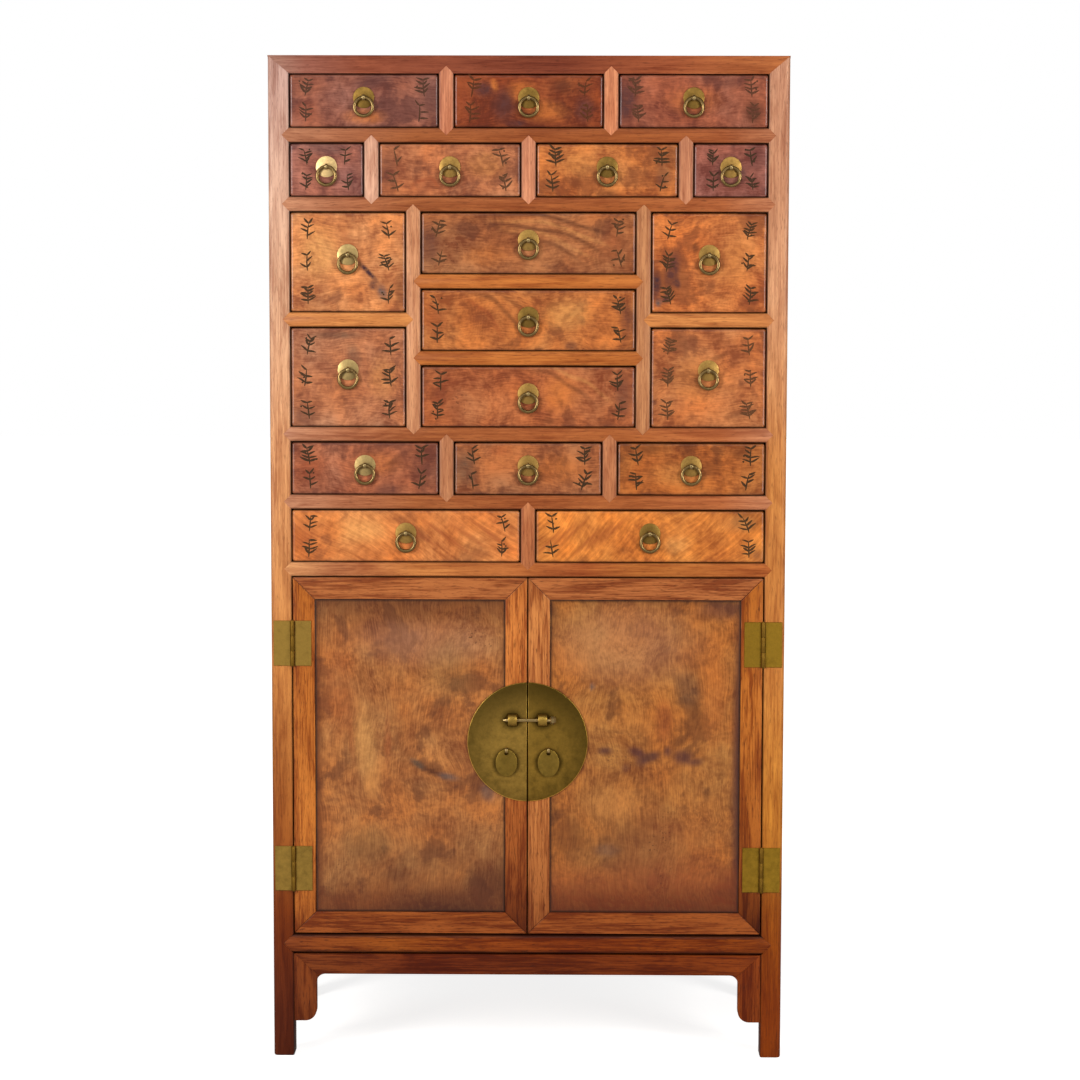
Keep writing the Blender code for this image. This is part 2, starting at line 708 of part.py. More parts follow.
def top_frame(name):
    """The top: a frame with mitred corners round a panel, open underneath, seated on the four posts."""
    slab = shape_of(lambda s: box(s, (-WIDTH / 2, WIDTH / 2), (0, DEPTH), (CASE_TOP, HEIGHT)))
    corners = [e for e in slab.edges if abs(e.verts[0].co.z - e.verts[1].co.z) > GAP]
    round_edges(slab, corners, POST_ROUND)
    hollow_x = (-WIDTH / 2 + TOP_MEMBER, WIDTH / 2 - TOP_MEMBER)
    hollow_z = (CASE_TOP - TOP_RAIL, HEIGHT - TOP_PANEL)
    hollow = shape_of(lambda s: box(s, hollow_x, (TOP_MEMBER, DEPTH - TOP_MEMBER), hollow_z))
    seats = bmesh.new()
    for side in (-1, 1):
        for y in (FRONT_POST_Y, REAR_POST_Y):
            post_column(seats, side, y, GAP, POST_ROUND)
    sockets = bmesh.new()
    for x in stile_limits(ROW_1):
        stile_top(sockets, x, CASE_TOP, GAP)
    grooves = bmesh.new()
    for side in (-1, 1):
        side_panel(grooves, side, GAP)
    sunk_z = (HEIGHT - TOP_PANEL_INSET, HEIGHT + TOP_RAIL)
    sunk = shape_of(lambda s: box(s, hollow_x, (TOP_MEMBER, DEPTH - TOP_MEMBER), sunk_z))
    return solid(name, "frame_wood", slab, (), (hollow, sunk, seats, sockets, grooves))


def cupboard_floor(name):
    """The bottom rail, its rebate that stops the doors, and the floor that lies on the side rails."""
    z = BOTTOM_RAIL_Z
    rail = shape_of(lambda s: box(s, (-INNER + GAP, INNER - GAP), (0, RAIL_DEPTH), z))
    stop_y = (DOOR + DOOR_GAP, RAIL_DEPTH)
    floor_z = (z[1] + GAP, z[1] + GAP + FLOOR)
    stop_z = (z[1] - TENON_MARGIN, floor_z[1])
    stop = shape_of(lambda s: box(s, (-INNER + GAP, INNER - GAP), stop_y, stop_z))
    board_y = (stop_y[0] + GAP, BOARD_Y[1])
    board_x = (-INNER + 2 * GAP, INNER - 2 * GAP)
    board_z_limits = (floor_z[0], floor_z[1] - GAP)
    board = shape_of(lambda s: box(s, board_x, board_y, board_z_limits))
    ends = shape_of(lambda s: wings(s, board_z_limits))
    points = shape_of(lambda s: rail_ends(s, INNER, z))
    return solid(name, "frame_wood", rail, (stop, points, board, ends))


def front_apron(name):
    return solid(name, "frame_wood", shape_of(lambda s: apron_outline(s, INNER, APRON_Y)))


# Drawers and their pulls


def pull_height(bay):
    """The Z of a pull: a little over the middle of its drawer, and more on a tall drawer."""
    low, high = bay[1]
    raise_by = TALL_PULL_RAISE if high - low > (BLOCK - RAIL) / 2 - GAP else PULL_RAISE
    return (low + high) / 2 + raise_by


def pull_seat(shape, x, z):
    """The round plate of a pull."""
    rod(shape, (x, 0, z), PULL_PLATE_R, 2 * PULL_PLATE, "Y", PULL_PLATE_SIDES)


def drawer(name, bay):
    """A drawer: a box open at the top, its front flush in the opening, with the plate and eye of its pull."""
    (left, right), (low, high) = bay
    x = (left + DRAWER_SIDE_GAP, right - DRAWER_SIDE_GAP)
    top = high - DRAWER_TOP_GAP
    middle = (sum(x) / 2, 0, (low + top) / 2)
    front = shape_of(lambda s: box(s, x, (0, DRAWER_FRONT), (low + GAP, top)))
    edges = [e for e in front.edges if all(abs(v.co.y) < GAP for v in e.verts)]
    round_edges(front, edges, DRAWER_ROUND)
    tray = bmesh.new()
    tray_x = (x[0] + GAP, x[1] - GAP)
    tray_y = (DRAWER_FRONT - DRAWER_WALL, DRAWER_LENGTH)
    box(tray, tray_x, tray_y, (low + 2 * GAP, top - DRAWER_BOX_DROP))
    inside = bmesh.new()
    inside_x = (tray_x[0] + DRAWER_WALL, tray_x[1] - DRAWER_WALL)
    inside_y = (DRAWER_FRONT, DRAWER_LENGTH - DRAWER_WALL)
    box(inside, inside_x, inside_y, (low + 2 * GAP + DRAWER_BOTTOM, high))
    z = pull_height(bay)
    plate = shape_of(lambda s: pull_seat(s, middle[0], z))
    eye_at = (middle[0], -PULL_OUT, z)
    eye = shape_of(lambda s: tube(s, eye_at, EYE_BORE, EYE_WALL, EYE_WIDTH, "X", FINE_SIDES))
    return solid(name, "burl_drawer", front, (tray, plate, eye), (inside,), origin=middle)


def ring_mesh():
    """The ring of a pull, hanging from an origin at the top of its wire."""
    bpy.ops.mesh.primitive_torus_add(
        major_segments=RING_STEPS,
        minor_segments=RING_SIDES,
        major_radius=RING_R,
        minor_radius=RING_WIRE,
        rotation=(math.pi / 2, 0, 0),
        location=(0, 0, -RING_R),
    )
    made = bpy.context.object
    mesh = made.data
    mesh.transform(made.matrix_world)
    bpy.data.objects.remove(made)
    mesh.name = "pull_ring"
    mesh.materials.append(MATERIALS["ring_brass"])
    mesh.shade_smooth()
    return mesh


DRAWERS = {
    "1_left": ROW_1[0],
    "1_middle": ROW_1[1],
    "1_right": ROW_1[2],
    "2_far_left": ROW_2[0],
    "2_left": ROW_2[1],
    "2_right": ROW_2[2],
    "2_far_right": ROW_2[3],
    "3_upper_left": (COLUMNS[0][0], TALL_LEVELS[0]),
    "3_lower_left": (COLUMNS[0][0], TALL_LEVELS[1]),
    "3_upper_centre": (COLUMNS[1][0], CENTRE_LEVELS[0]),
    "3_middle_centre": (COLUMNS[1][0], CENTRE_LEVELS[1]),
    "3_lower_centre": (COLUMNS[1][0], CENTRE_LEVELS[2]),
    "3_upper_right": (COLUMNS[2][0], TALL_LEVELS[0]),
    "3_lower_right": (COLUMNS[2][0], TALL_LEVELS[1]),
    "4_left": ROW_4[0],
    "4_middle": ROW_4[1],
    "4_right": ROW_4[2],
    "5_left": ROW_5[0],
    "5_right": ROW_5[1],
}


# Doors, lock and hanging pulls


def door_limits(side):
    """The X and Z limits of a door in its half of the opening, given from the meeting edge outwards."""
    x = (side * DOOR_MEETING / 2, side * (INNER - DOOR_GAP))
    z = (DOOR_Z[0] + DOOR_GAP, DOOR_Z[1] - DOOR_GAP)
    return x, z


def inset_limits(side, inset):
    x, z = door_limits(side)
    return (x[0] + side * inset, x[1] - side * inset), (z[0] + inset, z[1] - inset)


def door_frame(side, name):
    """The mitred frame of a door, grooved for its panel, with its hinge leaves and their middle knuckles."""
    x, z = door_limits(side)
    slab = shape_of(lambda s: box(s, x, (0, DOOR), z))
    field_x, field_z = inset_limits(side, DOOR_MEMBER)
    opening = shape_of(lambda s: box(s, field_x, (-DOOR, 2 * DOOR), field_z))
    groove_x, groove_z = inset_limits(side, DOOR_MEMBER - DOOR_GROOVE)
    groove_y = (tongue_limits()[0] - GAP, tongue_limits()[1] + GAP)
    groove = shape_of(lambda s: box(s, groove_x, groove_y, groove_z))
    leaves = shape_of(lambda s: hinge_leaf(s, side, -side))
    tabs = shape_of(lambda s: hinge_tabs(s, side, -side, False))
    knuckles = bmesh.new()
    axis = hinge_axis(side)
    bore = HINGE_PIN_R + HINGE_RUN
    for span in knuckle_spans(False):
        centre = (axis.x, axis.y, sum(span) / 2)
        tube(knuckles, centre, bore, HINGE_BARREL_R - bore, span[1] - span[0], "Z")
    joined = (leaves, tabs, knuckles)
    return solid(name, "frame_wood", slab, joined, (opening, groove), origin=axis)


def tongue_limits():
    """The Y limits of the tongue round a door panel."""
    back = DOOR_PANEL_INSET + DOOR_PANEL
    return (back - DOOR_TONGUE_BACK - DOOR_TONGUE, back - DOOR_TONGUE_BACK)


def door_panel(side, name, parent):
    """The burl panel of a door, which floats in the grooves of its frame."""
    field_x, field_z = inset_limits(side, DOOR_MEMBER + GAP)
    field = shape_of(lambda s: box(s, field_x, (DOOR_PANEL_INSET, DOOR_PANEL_INSET + DOOR_PANEL), field_z))
    tongue_x, tongue_z = inset_limits(side, DOOR_MEMBER - DOOR_GROOVE + GAP)
    tongue = shape_of(lambda s: box(s, tongue_x, tongue_limits(), tongue_z))
    return solid(name, "burl_door", field, (tongue,), parent=parent, origin=hinge_axis(side))


def drop_pivot(side):
    return Vector((side * DROP_X, -DROP_OUT, LOCK_ABOVE_FLOOR - DROP_BELOW))


def lock_plate(side, name, parent):
    """Half of the round lock plate, with its knuckle for the pin and its eye for the hanging pull."""
    disc_at = (0, -GAP - LOCK_PLATE / 2, LOCK_ABOVE_FLOOR)
    disc = shape_of(lambda s: rod(s, disc_at, LOCK_R, LOCK_PLATE, "Y", LOCK_SIDES))
    cut_off(disc, (side * DOOR_MEETING / 2, 0, 0), (-side, 0, 0))
    pin_z = LOCK_ABOVE_FLOOR + KNUCKLE_ABOVE
    x = side * KNUCKLE_X
    foot_x = (x - KNUCKLE_WIDTH / 2 + GAP, x + KNUCKLE_WIDTH / 2 - GAP)
    foot_z = (pin_z - KNUCKLE_FOOT / 2, pin_z + KNUCKLE_FOOT / 2)
    foot_y = (-LOCK_FACE - KNUCKLE_FOOT_THICK, -LOCK_FACE + LOCK_PLATE / 2)
    foot = shape_of(lambda s: box(s, foot_x, foot_y, foot_z))
    knuckle = shape_of(lambda s: rod(s, (x, -PIN_OUT, pin_z), KNUCKLE_R, KNUCKLE_WIDTH, "X"))
    cut_off(knuckle, disc_at, (0, 1, 0))
    pivot = drop_pivot(side)
    eye = shape_of(lambda s: tube(s, pivot, DROP_EYE_BORE, EYE_WALL, DROP_EYE_WIDTH, "X"))
    cut_off(eye, disc_at, (0, 1, 0))
    bore = shape_of(lambda s: rod(s, (x, -PIN_OUT, pin_z), PIN_R + PIN_RUN, 2 * KNUCKLE_WIDTH, "X"))
    return solid(
        name, "aged_brass", disc, (foot, knuckle, eye), (bore,), parent=parent, origin=hinge_axis(side)
    )


def drop_pull(side, name, parent):
    """A flat oval that hangs by the bar over its hole."""
    pivot = drop_pivot(side)
    oval = shape_of(lambda s: rod(s, (0, 0, 0), 0.5, DROP_THICK, "Y", DROP_SIDES))
    bmesh.ops.scale(oval, vec=(DROP_WIDTH, 1, DROP_HEIGHT), verts=oval.verts)
    centre = pivot + Vector((0, 0, DROP_BAR / 2 - DROP_HEIGHT / 2))
    bmesh.ops.translate(oval, vec=centre, verts=oval.verts)
    hole = shape_of(lambda s: rod(s, (0, 0, 0), 0.5, 2 * DROP_THICK, "Y"))
    bmesh.ops.scale(hole, vec=(DROP_HOLE[0], 1, DROP_HOLE[1]), verts=hole.verts)
    below = pivot - Vector((0, 0, DROP_BAR / 2 + DROP_HOLE[1] / 2))
    bmesh.ops.translate(hole, vec=below, verts=hole.verts)
    return solid(name, "aged_brass", oval, (), (hole,), parent=parent, origin=pivot, smooth=True)


def lock_pin(name, parent):
    """The pin through both knuckles: a tapered tip, a shank and a square head to draw it by."""
    z = LOCK_ABOVE_FLOOR + KNUCKLE_ABOVE
    centre = Vector((0, -PIN_OUT, z))
    head = bmesh.new()
    half = Vector(PIN_HEAD) / 2
    start = PIN_SHANK / 2
    box(head, (start, start + PIN_HEAD[0]), (-PIN_OUT - half.y, -PIN_OUT + half.y), (z - half.z, z + half.z))
    round_edges(head, head.edges[:], PIN_HEAD_ROUND)
    shank = bmesh.new()
    rod(shank, centre + Vector((TENON_MARGIN / 2, 0, 0)), PIN_R, PIN_SHANK + TENON_MARGIN, "X")
    tip = bmesh.new()
    tip_x = -PIN_SHANK / 2 - PIN_TIP / 2 + GAP
    rod(tip, centre + Vector((tip_x, 0, 0)), PIN_R / 2, PIN_TIP, "X", ROD_SIDES, PIN_R - GAP)
    return solid(name, "ring_brass", head, (shank, tip), parent=parent, origin=centre, smooth=True)


def build_case():
    for side, word in ((-1, "left"), (1, "right")):
        front_post(side, f"front_post_{word}")
        side_frame(side, f"side_frame_{word}")
    back_frame("back_frame")
    top_frame("top_frame")
    cupboard_floor("cupboard_floor")
    front_apron("front_apron")
    row_frame("row_1_frame", ROW_1, MAIN_RAILS[0], stile_limits(ROW_2))
    row_frame("row_2_frame", ROW_2, MAIN_RAILS[1], stile_limits(COLUMNS))
    block_frame("row_3_frame", MAIN_RAILS[2], stile_limits(ROW_4))
    row_frame("row_4_frame", ROW_4, MAIN_RAILS[3], stile_limits(ROW_5))
    row_frame("row_5_frame", ROW_5, MAIN_RAILS[4], [])


def build_drawers():
    ring = ring_mesh()
    for name, bay in DRAWERS.items():
        carrier = drawer(f"drawer_{name}", bay)
        pivot = (sum(bay[0]) / 2, -PULL_OUT, pull_height(bay))
        link_object(f"ring_{name}", ring, PARTS, carrier, pivot)


def build_doors():
    for side, word in ((-1, "left"), (1, "right")):
        frame = door_frame(side, f"door_frame_{word}")
        door_panel(side, f"door_panel_{word}", frame)
        plate = lock_plate(side, f"lock_plate_{word}", frame)
        drop_pull(side, f"drop_pull_{word}", plate)
    lock_pin("lock_pin", bpy.data.objects["door_frame_right"])


build_case()
build_drawers()
build_doors()
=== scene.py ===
# %% [markdown]
# # A tall apothecary chest, piece by piece
# The real chest is a frame of red-brown hardwood with pointed mitred joints. It holds nineteen drawers with burl
# fronts and a cupboard with two burl doors, and its fittings are brass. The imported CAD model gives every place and
# size. Each of its solids is rebuilt here as the separate boards and fittings that a maker would cut, so that every
# board has its own grain and every joint its own seam.

# %% Load the frame
import math
import random

import bmesh
import bpy
import numpy as np
from mathutils import Matrix, Vector


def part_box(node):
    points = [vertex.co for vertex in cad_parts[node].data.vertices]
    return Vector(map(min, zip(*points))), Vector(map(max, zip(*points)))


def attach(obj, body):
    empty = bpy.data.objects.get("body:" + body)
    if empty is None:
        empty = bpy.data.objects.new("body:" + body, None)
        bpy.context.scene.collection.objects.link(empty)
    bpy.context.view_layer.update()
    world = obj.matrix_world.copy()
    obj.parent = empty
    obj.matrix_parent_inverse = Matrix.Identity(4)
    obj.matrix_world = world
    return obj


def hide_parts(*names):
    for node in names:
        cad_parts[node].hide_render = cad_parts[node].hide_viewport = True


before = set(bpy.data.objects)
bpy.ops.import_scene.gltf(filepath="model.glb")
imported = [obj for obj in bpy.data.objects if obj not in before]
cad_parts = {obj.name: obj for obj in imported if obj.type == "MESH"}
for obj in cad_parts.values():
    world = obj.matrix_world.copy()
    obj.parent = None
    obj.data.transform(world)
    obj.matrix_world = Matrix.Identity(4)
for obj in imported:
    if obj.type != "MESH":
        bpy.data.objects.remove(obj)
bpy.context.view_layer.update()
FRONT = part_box("row_1_frame")[0].y

# %% [markdown]
# ## Camera
# The photograph looks at the front from eye height, a little downwards. The pitch, turn and roll come from the
# slant of the chest's own edges, so the camera is set by a matrix and not by tracking a target.

# %% Camera
LENS, SENSOR = 92.13, 36.0                # mm
TURN, PITCH, ROLL = 0.567, 5.343, 0.131   # degrees
EYE = (0.0715, -5.0, 1.4276)              # m, from the foot of the front's middle
camera = bpy.data.objects.new("camera", bpy.data.cameras.new("camera"))
bpy.context.scene.collection.objects.link(camera)
bpy.context.scene.camera = camera
camera.data.lens, camera.data.sensor_width, camera.data.clip_end = LENS, SENSOR, 60.0
turn, tilt, roll = [Matrix.Rotation(math.radians(angle), 4, axis)
                    for angle, axis in ((TURN, "Z"), (90 - PITCH, "X"), (ROLL, "Z"))]
camera.matrix_world = Matrix.Translation((EYE[0], FRONT + EYE[1], EYE[2])) @ turn @ tilt @ roll
print("camera", [round(value, 3) for value in camera.matrix_world.translation])

# %% [markdown]
# ## Studio
# The photograph has a pure white ground with a faint shadow under the legs. Tall soft lights stand left and right of
# the front, and one hangs above. The floor glows for the camera alone, more with the distance, so that it reaches
# white without lighting the legs from below.


# %% Colours and nodes
def linear(code):
    """The linear colour of an sRGB hex code."""
    parts = [int(code[n : n + 2], 16) / 255 for n in (1, 3, 5)]
    return [part / 12.92 if part <= 0.04045 else ((part + 0.055) / 1.055) ** 2.4 for part in parts] + [1.0]


def add(tree, kind, inputs=(), out=0, **settings):
    """Adds a node, sets its properties, fills its inputs with values or with links, and gives one of its outputs."""
    made = tree.nodes.new("ShaderNode" + kind)
    for key, value in settings.items():
        setattr(made, key, value)
    for key, value in dict(inputs).items():
        if isinstance(value, bpy.types.NodeSocket):
            tree.links.new(value, made.inputs[key])
        else:
            made.inputs[key].default_value = value
    return made.outputs[out]


def new_material(name):
    """A new material with its nodes and its shader."""
    material = bpy.data.materials.new(name)
    material.use_nodes = True
    return material, material.node_tree, material.node_tree.nodes["Principled BSDF"]


# %% World and lights
scene = bpy.context.scene
scene.view_settings.view_transform = "Standard"
scene.world = bpy.data.worlds.new("studio")
scene.world.use_nodes = True
tree = scene.world.node_tree
around = add(tree, "Background", {"Color": linear("#ffffff"), "Strength": 0.15})
backdrop = add(tree, "Background", {"Color": linear("#ffffff"), "Strength": 1.0})
seen = add(tree, "LightPath", out="Is Camera Ray")
mixed = add(tree, "MixShader", {0: seen, 1: around, 2: backdrop})
tree.links.new(mixed, tree.nodes["World Output"].inputs["Surface"])

SOFTBOXES = {
    "left_softbox": ((-2.2, -2.2, 1.60), (0.9, 1.6), 86.0),
    "right_softbox": ((2.3, -2.2, 1.55), (0.9, 1.6), 76.0),
    "upper_softbox": ((0.0, -2.8, 3.2), (2.4, 1.2), 26.0),
}
for name, (place, size, power) in SOFTBOXES.items():
    light = bpy.data.lights.new(name, "AREA")
    light.shape, light.size, light.size_y, light.energy = "RECTANGLE", *size, power
    lamp = bpy.data.objects.new(name, light)
    at = Vector(place) + Vector((0, FRONT, 0))
    aim = (Vector((0, FRONT, 1.15)) - at).to_track_quat("-Z", "Y")
    lamp.matrix_world = Matrix.Translation(at) @ aim.to_matrix().to_4x4()
    scene.collection.objects.link(lamp)
print("lights", list(SOFTBOXES))

# %% Floor
paper, tree, shader = new_material("white_paper")
shader.inputs["Base Color"].default_value = linear("#c9c6c3")
shader.inputs["Roughness"].default_value = 0.9
place = add(tree, "TexCoord", out="Object")
away = add(tree, "VectorMath", {0: place, 1: (0.0, 0.0, 0.0)}, operation="DISTANCE", out="Value")
level = add(tree, "MapRange", {"Value": away, "From Min": 0.7, "From Max": 1.9, "To Min": 0.80, "To Max": 1.05})
glow = add(tree, "Emission", {"Color": linear("#ffffff"), "Strength": level})
seen = add(tree, "LightPath", out="Is Camera Ray")
dark = add(tree, "Emission", {"Strength": 0.0})
shown = add(tree, "MixShader", {0: seen, 1: dark, 2: glow})
total = add(tree, "AddShader", {0: shader.outputs[0], 1: shown})
tree.links.new(total, tree.nodes["Material Output"].inputs["Surface"])

shape = bmesh.new()
bmesh.ops.create_grid(shape, x_segments=4, y_segments=4, size=20.0)
mesh = bpy.data.meshes.new("floor")
shape.to_mesh(mesh)
shape.free()
mesh.materials.append(paper)
floor = bpy.data.objects.new("floor", mesh)
scene.collection.objects.link(floor)
print("floor", floor.dimensions[:])

# %% [markdown]
# ## Waxed hardwood
# The frame is a dense red-brown hardwood, planed and waxed. Its streaks are a few millimetres wide and run far along
# each board, paler and pinker where the light catches them and deep red between, and its pores are short dark dashes.
# A solid texture in world directions would run every board the same way, so each piece carries its own "grain"
# attribute, whose first axis is the way that its fibres run, a "tint" for the colour of its board, and an "edge" for
# the painted shade that darkens it in the seams between boards.

# %% Waxed hardwood
PORE = (16.0, 1.2)  # mm; real pores are finer, but would not show in the render
FIBRE, STREAK, BAND = (36.0, 1.3), (110.0, 2.8), (180.0, 24.0)


def along_grain(tree, grain, size):
    """The grain coordinates divided by a length and a width in millimetres."""
    scale = (1000 / size[0], 1000 / size[1], 1000 / size[1])
    return add(tree, "VectorMath", {0: grain, 1: scale}, operation="MULTIPLY")


def hardwood(name, contrast, pores, rough):
    """Wood with streaks of a contrast, with pores of a darkness, and with two limits for its roughness."""
    material, tree, shader = new_material(name)
    grain = add(tree, "Attribute", attribute_name="grain", out="Vector")
    tint = add(tree, "Attribute", attribute_name="tint", out="Color")
    edge = add(tree, "Attribute", attribute_name="edge", out="Fac")
    streaks, bands, fibres, dashes = [
        add(tree, "TexNoise", {
            "Vector": along_grain(tree, grain, size), "Scale": 1.0, "Detail": detail, "Roughness": 0.66,
            "Distortion": bend})
        for size, detail, bend in ((STREAK, 4.0, 0.5), (BAND, 3.0, 1.0), (FIBRE, 2.0, 0.2), (PORE, 1.0, 0.0))]
    coarse = add(tree, "Math", {0: bands, 1: 1.1, 2: streaks}, operation="MULTIPLY_ADD")
    figure = add(tree, "Math", {0: fibres, 1: 0.5, 2: coarse}, operation="MULTIPLY_ADD")
    light = add(tree, "MapRange", {
        "Value": figure, "From Min": 1.06, "From Max": 1.54, "To Min": 0.5 - contrast / 2,
        "To Max": 0.5 + contrast / 2})
    pore = add(tree, "MapRange", {
        "Value": dashes, "From Min": 0.58, "From Max": 0.72, "To Max": pores},
        interpolation_type="SMOOTHSTEP")

    deep = add(tree, "VectorMath", {0: tint, 1: (0.62, 0.46, 0.36)}, operation="MULTIPLY")
    pale = add(tree, "VectorMath", {0: tint, 1: (1.36, 1.45, 1.30)}, operation="MULTIPLY")
    body = add(tree, "Mix", {0: light, 6: deep, 7: pale}, data_type="RGBA", out=2)
    flecked = add(tree, "Mix", {0: pore, 6: body, 7: linear("#34150b")}, data_type="RGBA", out=2)
    # Painted shade in the seams, from the edge attribute.
    seam_shaded = add(tree, "Mix", {0: edge, 6: flecked, 7: linear("#140704")}, data_type="RGBA", out=2)
    tree.links.new(seam_shaded, shader.inputs["Base Color"])
    shader.inputs["Specular IOR Level"].default_value = 0.13
    sheen = add(tree, "MapRange", {
        "Value": streaks, "From Min": 0.3, "From Max": 0.7, "To Min": rough[1], "To Max": rough[0]})
    tree.links.new(sheen, shader.inputs["Roughness"])
    relief = add(tree, "Math", {0: fibres, 1: pore}, operation="SUBTRACT")
    bump = add(tree, "Bump", {"Strength": 0.2, "Distance": 0.0004, "Height": relief})
    tree.links.new(bump, shader.inputs["Normal"])
    return material


waxed_hardwood = hardwood("waxed_hardwood", 0.8, 0.45, (0.28, 0.44))
bold_hardwood = hardwood("bold_hardwood", 1.8, 0.7, (0.28, 0.44))
plain_softwood = hardwood("plain_softwood", 0.5, 0.2, (0.55, 0.68))
print("wood finishes", waxed_hardwood.name, bold_hardwood.name, plain_softwood.name)

# %% [markdown]
# ## Waxed burl
# Burl is cut from a swelling on a trunk, where the fibres curl in all directions. It gives soft clouds of light and
# dark a few centimetres across, a fine mottle, brushed arcs of fibre, clusters of small dark eyes, and smoky stains.
# A painted shade darkens each face along its edges, next to the gap round it. The main stains of each drawer are
# placed in a "wash" attribute, and noise frays their edges.

# %% Waxed burl
MOTTLE = 0.3
FINE = 0.11  # the finest curls show through the stains too


def burl(name, cloud, depth, swirl, eyes, rough, coat, brush, ripples, ragged):
    """Burl with clouds of a size in millimetres and a depth, in swirls of a size, with dark eyes of a strength.

    The brush is the length and the width of its fibres in millimetres, and their strength. Ripples cross it in arcs,
    a coat of polish lies over it, and the cover of its stains varies between two ragged limits.
    """
    material, tree, shader = new_material(name)
    grain = add(tree, "Attribute", attribute_name="grain", out="Vector")
    tint = add(tree, "Attribute", attribute_name="tint", out="Color")
    wash = add(tree, "Attribute", attribute_name="wash")
    edge = add(tree, "Attribute", attribute_name="edge", out="Fac")
    flow = add(tree, "TexNoise", {"Vector": grain, "Scale": 1000 / swirl, "Detail": 1.0})
    shift = add(tree, "VectorMath", {0: flow.node.outputs["Color"], 1: (0.5, 0.5, 0.5)}, operation="SUBTRACT")
    drift = add(tree, "VectorMath", {0: shift, "Scale": 0.4 * swirl / 1000}, operation="SCALE")
    curled = add(tree, "VectorMath", {0: grain, 1: drift}, operation="ADD")
    clouds, mottle, smoke, where = [
        add(tree, "TexNoise", {"Vector": curled, "Scale": 1000 / size, "Detail": detail, "Roughness": 0.6})
        for size, detail in ((cloud, 6.0), (11.0, 4.0), (1.3 * cloud, 6.0), (100.0, 2.0))]
    brushed = add(tree, "TexNoise", {
        "Vector": along_grain(tree, curled, brush), "Scale": 1.0, "Detail": 4.0, "Roughness": 0.6})
    ripple = add(tree, "Math", {0: flow, 1: 1.5 * swirl}, operation="MULTIPLY")
    broken = add(tree, "Math", {0: brushed, 1: 11.0, 2: ripple}, operation="MULTIPLY_ADD")
    arcs = add(tree, "Math", {0: broken}, operation="SINE")
    cells = add(tree, "TexVoronoi", {"Vector": curled, "Scale": 1000 / 6.0}, out="Distance")
    dots = add(tree, "MapRange", {"Value": cells, "From Min": 0.12, "From Max": 0.32, "To Min": 1.0, "To Max": 0.0})
    cluster = add(tree, "MapRange", {"Value": where, "From Min": 0.60, "From Max": 0.76, "To Max": eyes})
    eye = add(tree, "Math", {0: dots, 1: cluster}, operation="MULTIPLY")

    deep = add(tree, "VectorMath", {0: tint, 1: (0.60, 0.46, 0.40)}, operation="MULTIPLY")
    warmth = add(tree, "MapRange", {"Value": where, "From Min": 0.35, "From Max": 0.65})
    cast = add(tree, "Mix", {0: warmth, 6: (1.52, 1.38, 1.0, 1), 7: (1.28, 1.5, 1.5, 1)}, data_type="RGBA", out=2)
    pale = add(tree, "VectorMath", {0: tint, 1: cast}, operation="MULTIPLY")
    dusk = add(tree, "VectorMath", {0: tint, 1: (0.40, 0.34, 0.38)}, operation="MULTIPLY")
    cloudy = add(tree, "Math", {0: clouds, 1: depth}, operation="MULTIPLY")
    speckled = add(tree, "Math", {0: mottle, 1: MOTTLE, 2: cloudy}, operation="MULTIPLY_ADD")
    fibre = add(tree, "Math", {0: brushed, 1: brush[2], 2: speckled}, operation="MULTIPLY_ADD")
    figure = add(tree, "Math", {0: arcs, 1: ripples, 2: fibre}, operation="MULTIPLY_ADD")
    middle = (depth + MOTTLE + brush[2]) / 2
    light = add(tree, "MapRange", {"Value": figure, "From Min": middle - 0.16, "From Max": middle + 0.16})
    body = add(tree, "Mix", {0: light, 6: deep, 7: pale}, data_type="RGBA", out=2)
    stain = add(tree, "MapRange", {
        "Value": smoke, "From Min": 0.54, "From Max": 0.63, "To Max": 0.66},
        interpolation_type="SMOOTHSTEP")
    smoked = add(tree, "Mix", {0: stain, 6: body, 7: dusk}, data_type="RGBA", out=2)
    patchy = add(tree, "Math", {0: clouds, 1: 0.8, 2: mottle}, operation="MULTIPLY_ADD")
    fray = add(tree, "MapRange", {
        "Value": patchy, "From Min": 0.78, "From Max": 1.02, "To Min": ragged[0], "To Max": ragged[1]},
        interpolation_type="SMOOTHSTEP")
    cover = add(tree, "Math", {0: wash.node.outputs["Alpha"], 1: fray}, operation="MULTIPLY", use_clamp=True)
    stained = add(tree, "Mix", {0: cover, 6: smoked, 7: wash}, data_type="RGBA", out=2)
    curls = add(tree, "Math", {0: mottle, 1: brushed}, operation="ADD")
    gleam = add(tree, "MapRange", {
        "Value": curls, "From Min": 0.8, "From Max": 1.2, "To Min": 1 - FINE, "To Max": 1 + FINE})
    curly = add(tree, "VectorMath", {0: stained, "Scale": gleam}, operation="SCALE")
    dotted = add(tree, "Mix", {0: eye, 6: curly, 7: linear("#2c140c")}, data_type="RGBA", out=2)
    # Painted shade along the edges of the face, from the edge attribute.
    colour = add(tree, "Mix", {0: edge, 6: dotted, 7: linear("#180805")}, data_type="RGBA", out=2)
    tree.links.new(colour, shader.inputs["Base Color"])
    sheen = add(tree, "MapRange", {
        "Value": brushed, "From Min": 0.3, "From Max": 0.7, "To Min": rough[0], "To Max": rough[1]})
    tree.links.new(sheen, shader.inputs["Roughness"])
    bump = add(tree, "Bump", {"Strength": 0.12, "Distance": 0.0004, "Height": fibre})
    tree.links.new(bump, shader.inputs["Normal"])
    shader.inputs["Specular IOR Level"].default_value = 0.2
    shader.inputs["Coat Weight"].default_value = coat
    shader.inputs["Coat Roughness"].default_value = 0.18
    return material


